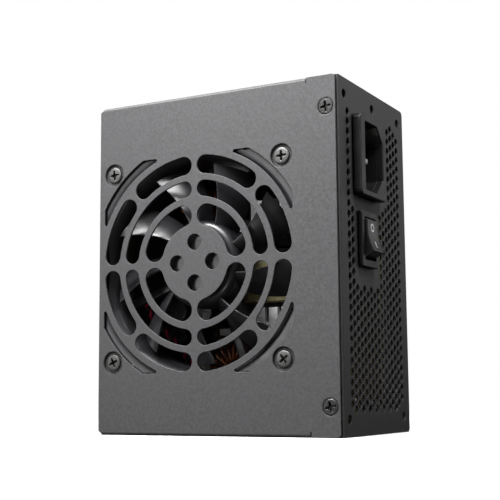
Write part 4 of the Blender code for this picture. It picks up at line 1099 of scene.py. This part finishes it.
def make_capacitors():
    """Sleeved cans with a rolled groove and a scored aluminium top."""
    for name in ("bulk_capacitor", "output_capacitor_1", "output_capacitor_2", "output_capacitor_3"):
        low, high = node_box(name)
        radius = (high.x - low.x) / 2
        x, z = (low.x + high.x) / 2, (low.z + high.z) / 2
        height = high.y - low.y
        soft = min(1.0, radius * 0.12)
        lip = [(radius - 1.2 * soft, height - 0.25)] + arc((radius - soft, height - soft), soft, 90, 0, 6)
        groove = [(radius, 3.4), (radius - 0.15, 3.0), (radius - 0.6, 2.5), (radius - 0.6, 2.2),
                  (radius - 0.15, 1.6), (radius, 1.3), (radius - 0.1, 0.3), (radius - 0.5, 0), (0, 0)]
        sleeve_shape = turned(lip + groove, (x, high.y, z), (0, -1, 0))
        add_piece(name + "_sleeve", sleeve_shape, "capacitor_sleeve", name)
        top = turned([(0, height - 0.35), (radius - 1.1 * soft, height - 0.3),
                      (radius - soft, height - 0.8), (0, height - 0.8)], (x, high.y, z), (0, -1, 0))
        arm, half = radius * 0.62, 0.16
        cross = [(half, half), (half, arm), (-half, arm), (-half, half), (-arm, half), (-arm, -half),
                 (-half, -half), (-half, -arm), (half, -arm), (half, -half), (arm, -half), (arm, half)]
        score = plate([shifted(cross, x, z)], "Y", low.y - 1, low.y + 0.5)
        add_piece(name + "_top", carved(top, score), "aluminium", finish="can_top")


HEATSINKS = {                           # the upright plate, the far edge of its fold, where the fold starts
    "primary_heatsink": ((76, 78.5), 87, 55),
    "secondary_heatsink": ((37.5, 40), 46.5, 56),
}


def make_heatsinks():
    """Plates with a low shoulder; the tall end is folded over below the fan, and slit into fins."""
    thick, drop, slit, fins = 2.2, 12, 0.8, 3
    for name, ((z0, z1), fold_z, start) in HEATSINKS.items():
        low, high = node_box(name)
        profile = [(low.x, low.y + drop), (start - 3, low.y + drop), (start, low.y), (high.x, low.y),
                   (high.x, high.y), (low.x, high.y)]
        upright = plate([filleted(profile, (1, 2, 0.6, 0.6, 0.2, 0.2))], "Z", z0, z1, rounding=0.2)
        comb = [(start, z0), (high.x, z0), (high.x, fold_z)]
        for i in range(fins - 1, 0, -1):
            x = start + (high.x - start) * i / fins
            comb += [(x + slit, fold_z), (x + slit, z1 + 1), (x - slit, z1 + 1), (x - slit, fold_z)]
        comb.append((start, fold_z))
        folded = plate([comb], "Y", low.y, low.y + thick, rounding=0.25)
        whole = carved(upright, folded, operation="UNION")
        add_piece(name + "_plate", whole, "aluminium", name)


def make_transformer():
    """The taped winding, with a raised last turn of tape."""
    low, high = node_box("transformer_winding")
    core_low, core_high = node_box("transformer_core")
    middle_x = (low.x + high.x) / 2
    half_leg, clearance, proud, sunk, half_band = 4.3, 0.3, 0.22, 0.1, 4.5
    low_edge, high_edge = (low.x, low.y), (high.x, high.y)
    leg = rectangle((middle_x - half_leg, core_low.y - clearance),
                    (middle_x + half_leg, core_high.y + clearance))
    body = plate([rectangle(low_edge, high_edge, 4, 8), leg], "Z", low.z, high.z, rounding=0.3)
    band_z = (low.z + high.z) / 2
    around = rectangle(low_edge, high_edge, 4.2, 8, proud)
    inside = rectangle(low_edge, high_edge, 3.9, 8, -sunk)
    band = plate([around, inside], "Z", band_z - half_band, band_z + half_band, rounding=0.1)
    add_piece("transformer_tape", merged(body, band), "yellow_tape", "transformer_winding")


def make_grommet():
    """Rubber bush for the output cables, with a soft rounded lip."""
    low, high = node_box("cable_grommet")
    y, z = (low.y + high.y) / 2, (low.z + high.z) / 2
    bore, neck, flange = 8, 10.3, 12.5
    profile = ([(bore + 0.8, 1.8), (bore + 1.6, 1.8)] + arc((flange - 0.7, 1.0), 0.7, 80, -20, 6)
               + [(neck + 0.1, 0.32), (neck, 0.2), (neck, -SHEET - 0.3), (neck + 1.4, -SHEET - 0.35),
                  (neck + 0.4, -2.8), (bore + 0.5, -2.8), (bore, -2.3), (bore, 1.2), (bore + 0.25, 1.6)])
    bush = turned(profile, (0, y, z), (-1, 0, 0), steps=96, closed=True)
    add_piece("cable_bush", bush, "rubber", "cable_grommet")


# ---- camera, light and floor

def make_camera():
    azimuth, elevation, roll = (math.radians(a) for a in (28.35, -7.36, -0.47))
    distance, aside, above = 421.69, -1.55, 7.41
    aim = Matrix.Rotation(azimuth, 4, "Z") @ Matrix.Rotation(math.pi / 2 - elevation, 4, "X")
    eye = CORNER + (Vector((DEPTH, THICKNESS, WIDTH)) / 2 + aim @ Vector((aside, above, distance))) * MM
    data = bpy.data.cameras.new("camera")
    data.sensor_width = 36
    data.lens = 78.69
    data.clip_start = 0.01
    camera = bpy.data.objects.new("camera", data)
    camera.matrix_world = Matrix.Translation(eye) @ aim @ Matrix.Rotation(roll, 4, "Z")
    SCENE.collection.objects.link(camera)
    SCENE.camera = camera


def make_light(name, where, size, power, target=(0, 0, 0.06), spread=180):
    """A soft box that looks at a point of the case."""
    data = bpy.data.lights.new(name, "AREA")
    data.shape = "RECTANGLE"
    data.size, data.size_y = size
    data.energy = power
    data.spread = math.radians(spread)
    light = bpy.data.objects.new(name, data)
    light.location = where
    light.rotation_euler = (Vector(target) - Vector(where)).to_track_quat("-Z", "Y").to_euler()
    SCENE.collection.objects.link(light)


DOME_FROM = (-0.45, -0.6, 0.66)         # the direction in which the dome is brightest
LIGHTS = {                              # place, size, power, then a target and a spread where they matter
    "key": ((-0.07, -0.18, 0.33), (0.26, 0.16), 0.71, (0, -0.03, 0.11), 70),
    "front": ((-0.4, -0.52, 0.14), (0.2, 0.2), 0.9),
    "bounce": ((0.1, -0.43, -0.2), (0.05, 0.05), 0.16),
    "edge": ((0.17, -0.05, 0.3), (0.08, 0.1), 0.54),
    "rim": ((0.32, 0.5, 0.24), (0.3, 0.4), 0.24),
}
WHITE = (1, 1, 1)


def make_dome():
    """A soft dome, brightest above the front; the camera sees plain white instead."""
    SCENE.world = bpy.data.worlds.new("studio")
    SCENE.world.use_nodes = True
    tree = SCENE.world.node_tree
    direction = add_node(tree, "ShaderNodeTexCoord").outputs["Generated"]
    facing = add_node(tree, "ShaderNodeVectorMath", {0: direction, 1: Vector(DOME_FROM).normalized()},
                      operation="DOT_PRODUCT").outputs["Value"]
    strength = mapped(tree, facing, -0.6, 0.9, 0.03, 0.26)
    dome = tree.nodes["Background"]
    feed(tree, dome, {"Color": WHITE, "Strength": strength})
    backdrop = add_node(tree, "ShaderNodeBackground", {"Color": WHITE, "Strength": 1.0})
    seen = add_node(tree, "ShaderNodeLightPath").outputs["Is Camera Ray"]
    mix = add_node(tree, "ShaderNodeMixShader", {
        0: seen, 1: dome.outputs["Background"], 2: backdrop.outputs["Background"]})
    feed(tree, tree.nodes["World Output"], {"Surface": mix.outputs["Shader"]})


def make_floor():
    """A pale floor that lights nothing and has a light of its own."""
    bpy.ops.mesh.primitive_plane_add(size=6)
    floor = bpy.context.object
    floor.name = "floor"
    material = bpy.data.materials.new("floor")
    material.use_nodes = True
    shader = material.node_tree.nodes["Principled BSDF"]
    feed(material.node_tree, shader, {"Base Color": (0.95, 0.95, 0.95), "Roughness": 0.7})
    floor.data.materials.append(material)
    floor.visible_diffuse = floor.visible_glossy = floor.visible_shadow = False
    lamp = bpy.data.lights.new("floor_light", "SUN")
    lamp.energy = 3.2
    lamp.angle = math.radians(60)
    floor_light = bpy.data.objects.new("floor_light", lamp)
    SCENE.collection.objects.link(floor_light)
    receivers = bpy.data.collections.new("floor_only")
    receivers.objects.link(floor)
    floor_light.light_linking.receiver_collection = receivers


dress_cad_nodes()
make_cover()
make_rear_panel()
make_screws()
make_inlet()
make_switch()
make_fan_frame()
make_rotor()
make_fan_leads()
make_chokes()
make_capacitors()
make_transformer()
make_heatsinks()
make_grommet()
make_camera()
make_dome()
for name, values in LIGHTS.items():
    make_light(name, *values)
make_floor()
SCENE.view_settings.view_transform = "Standard"
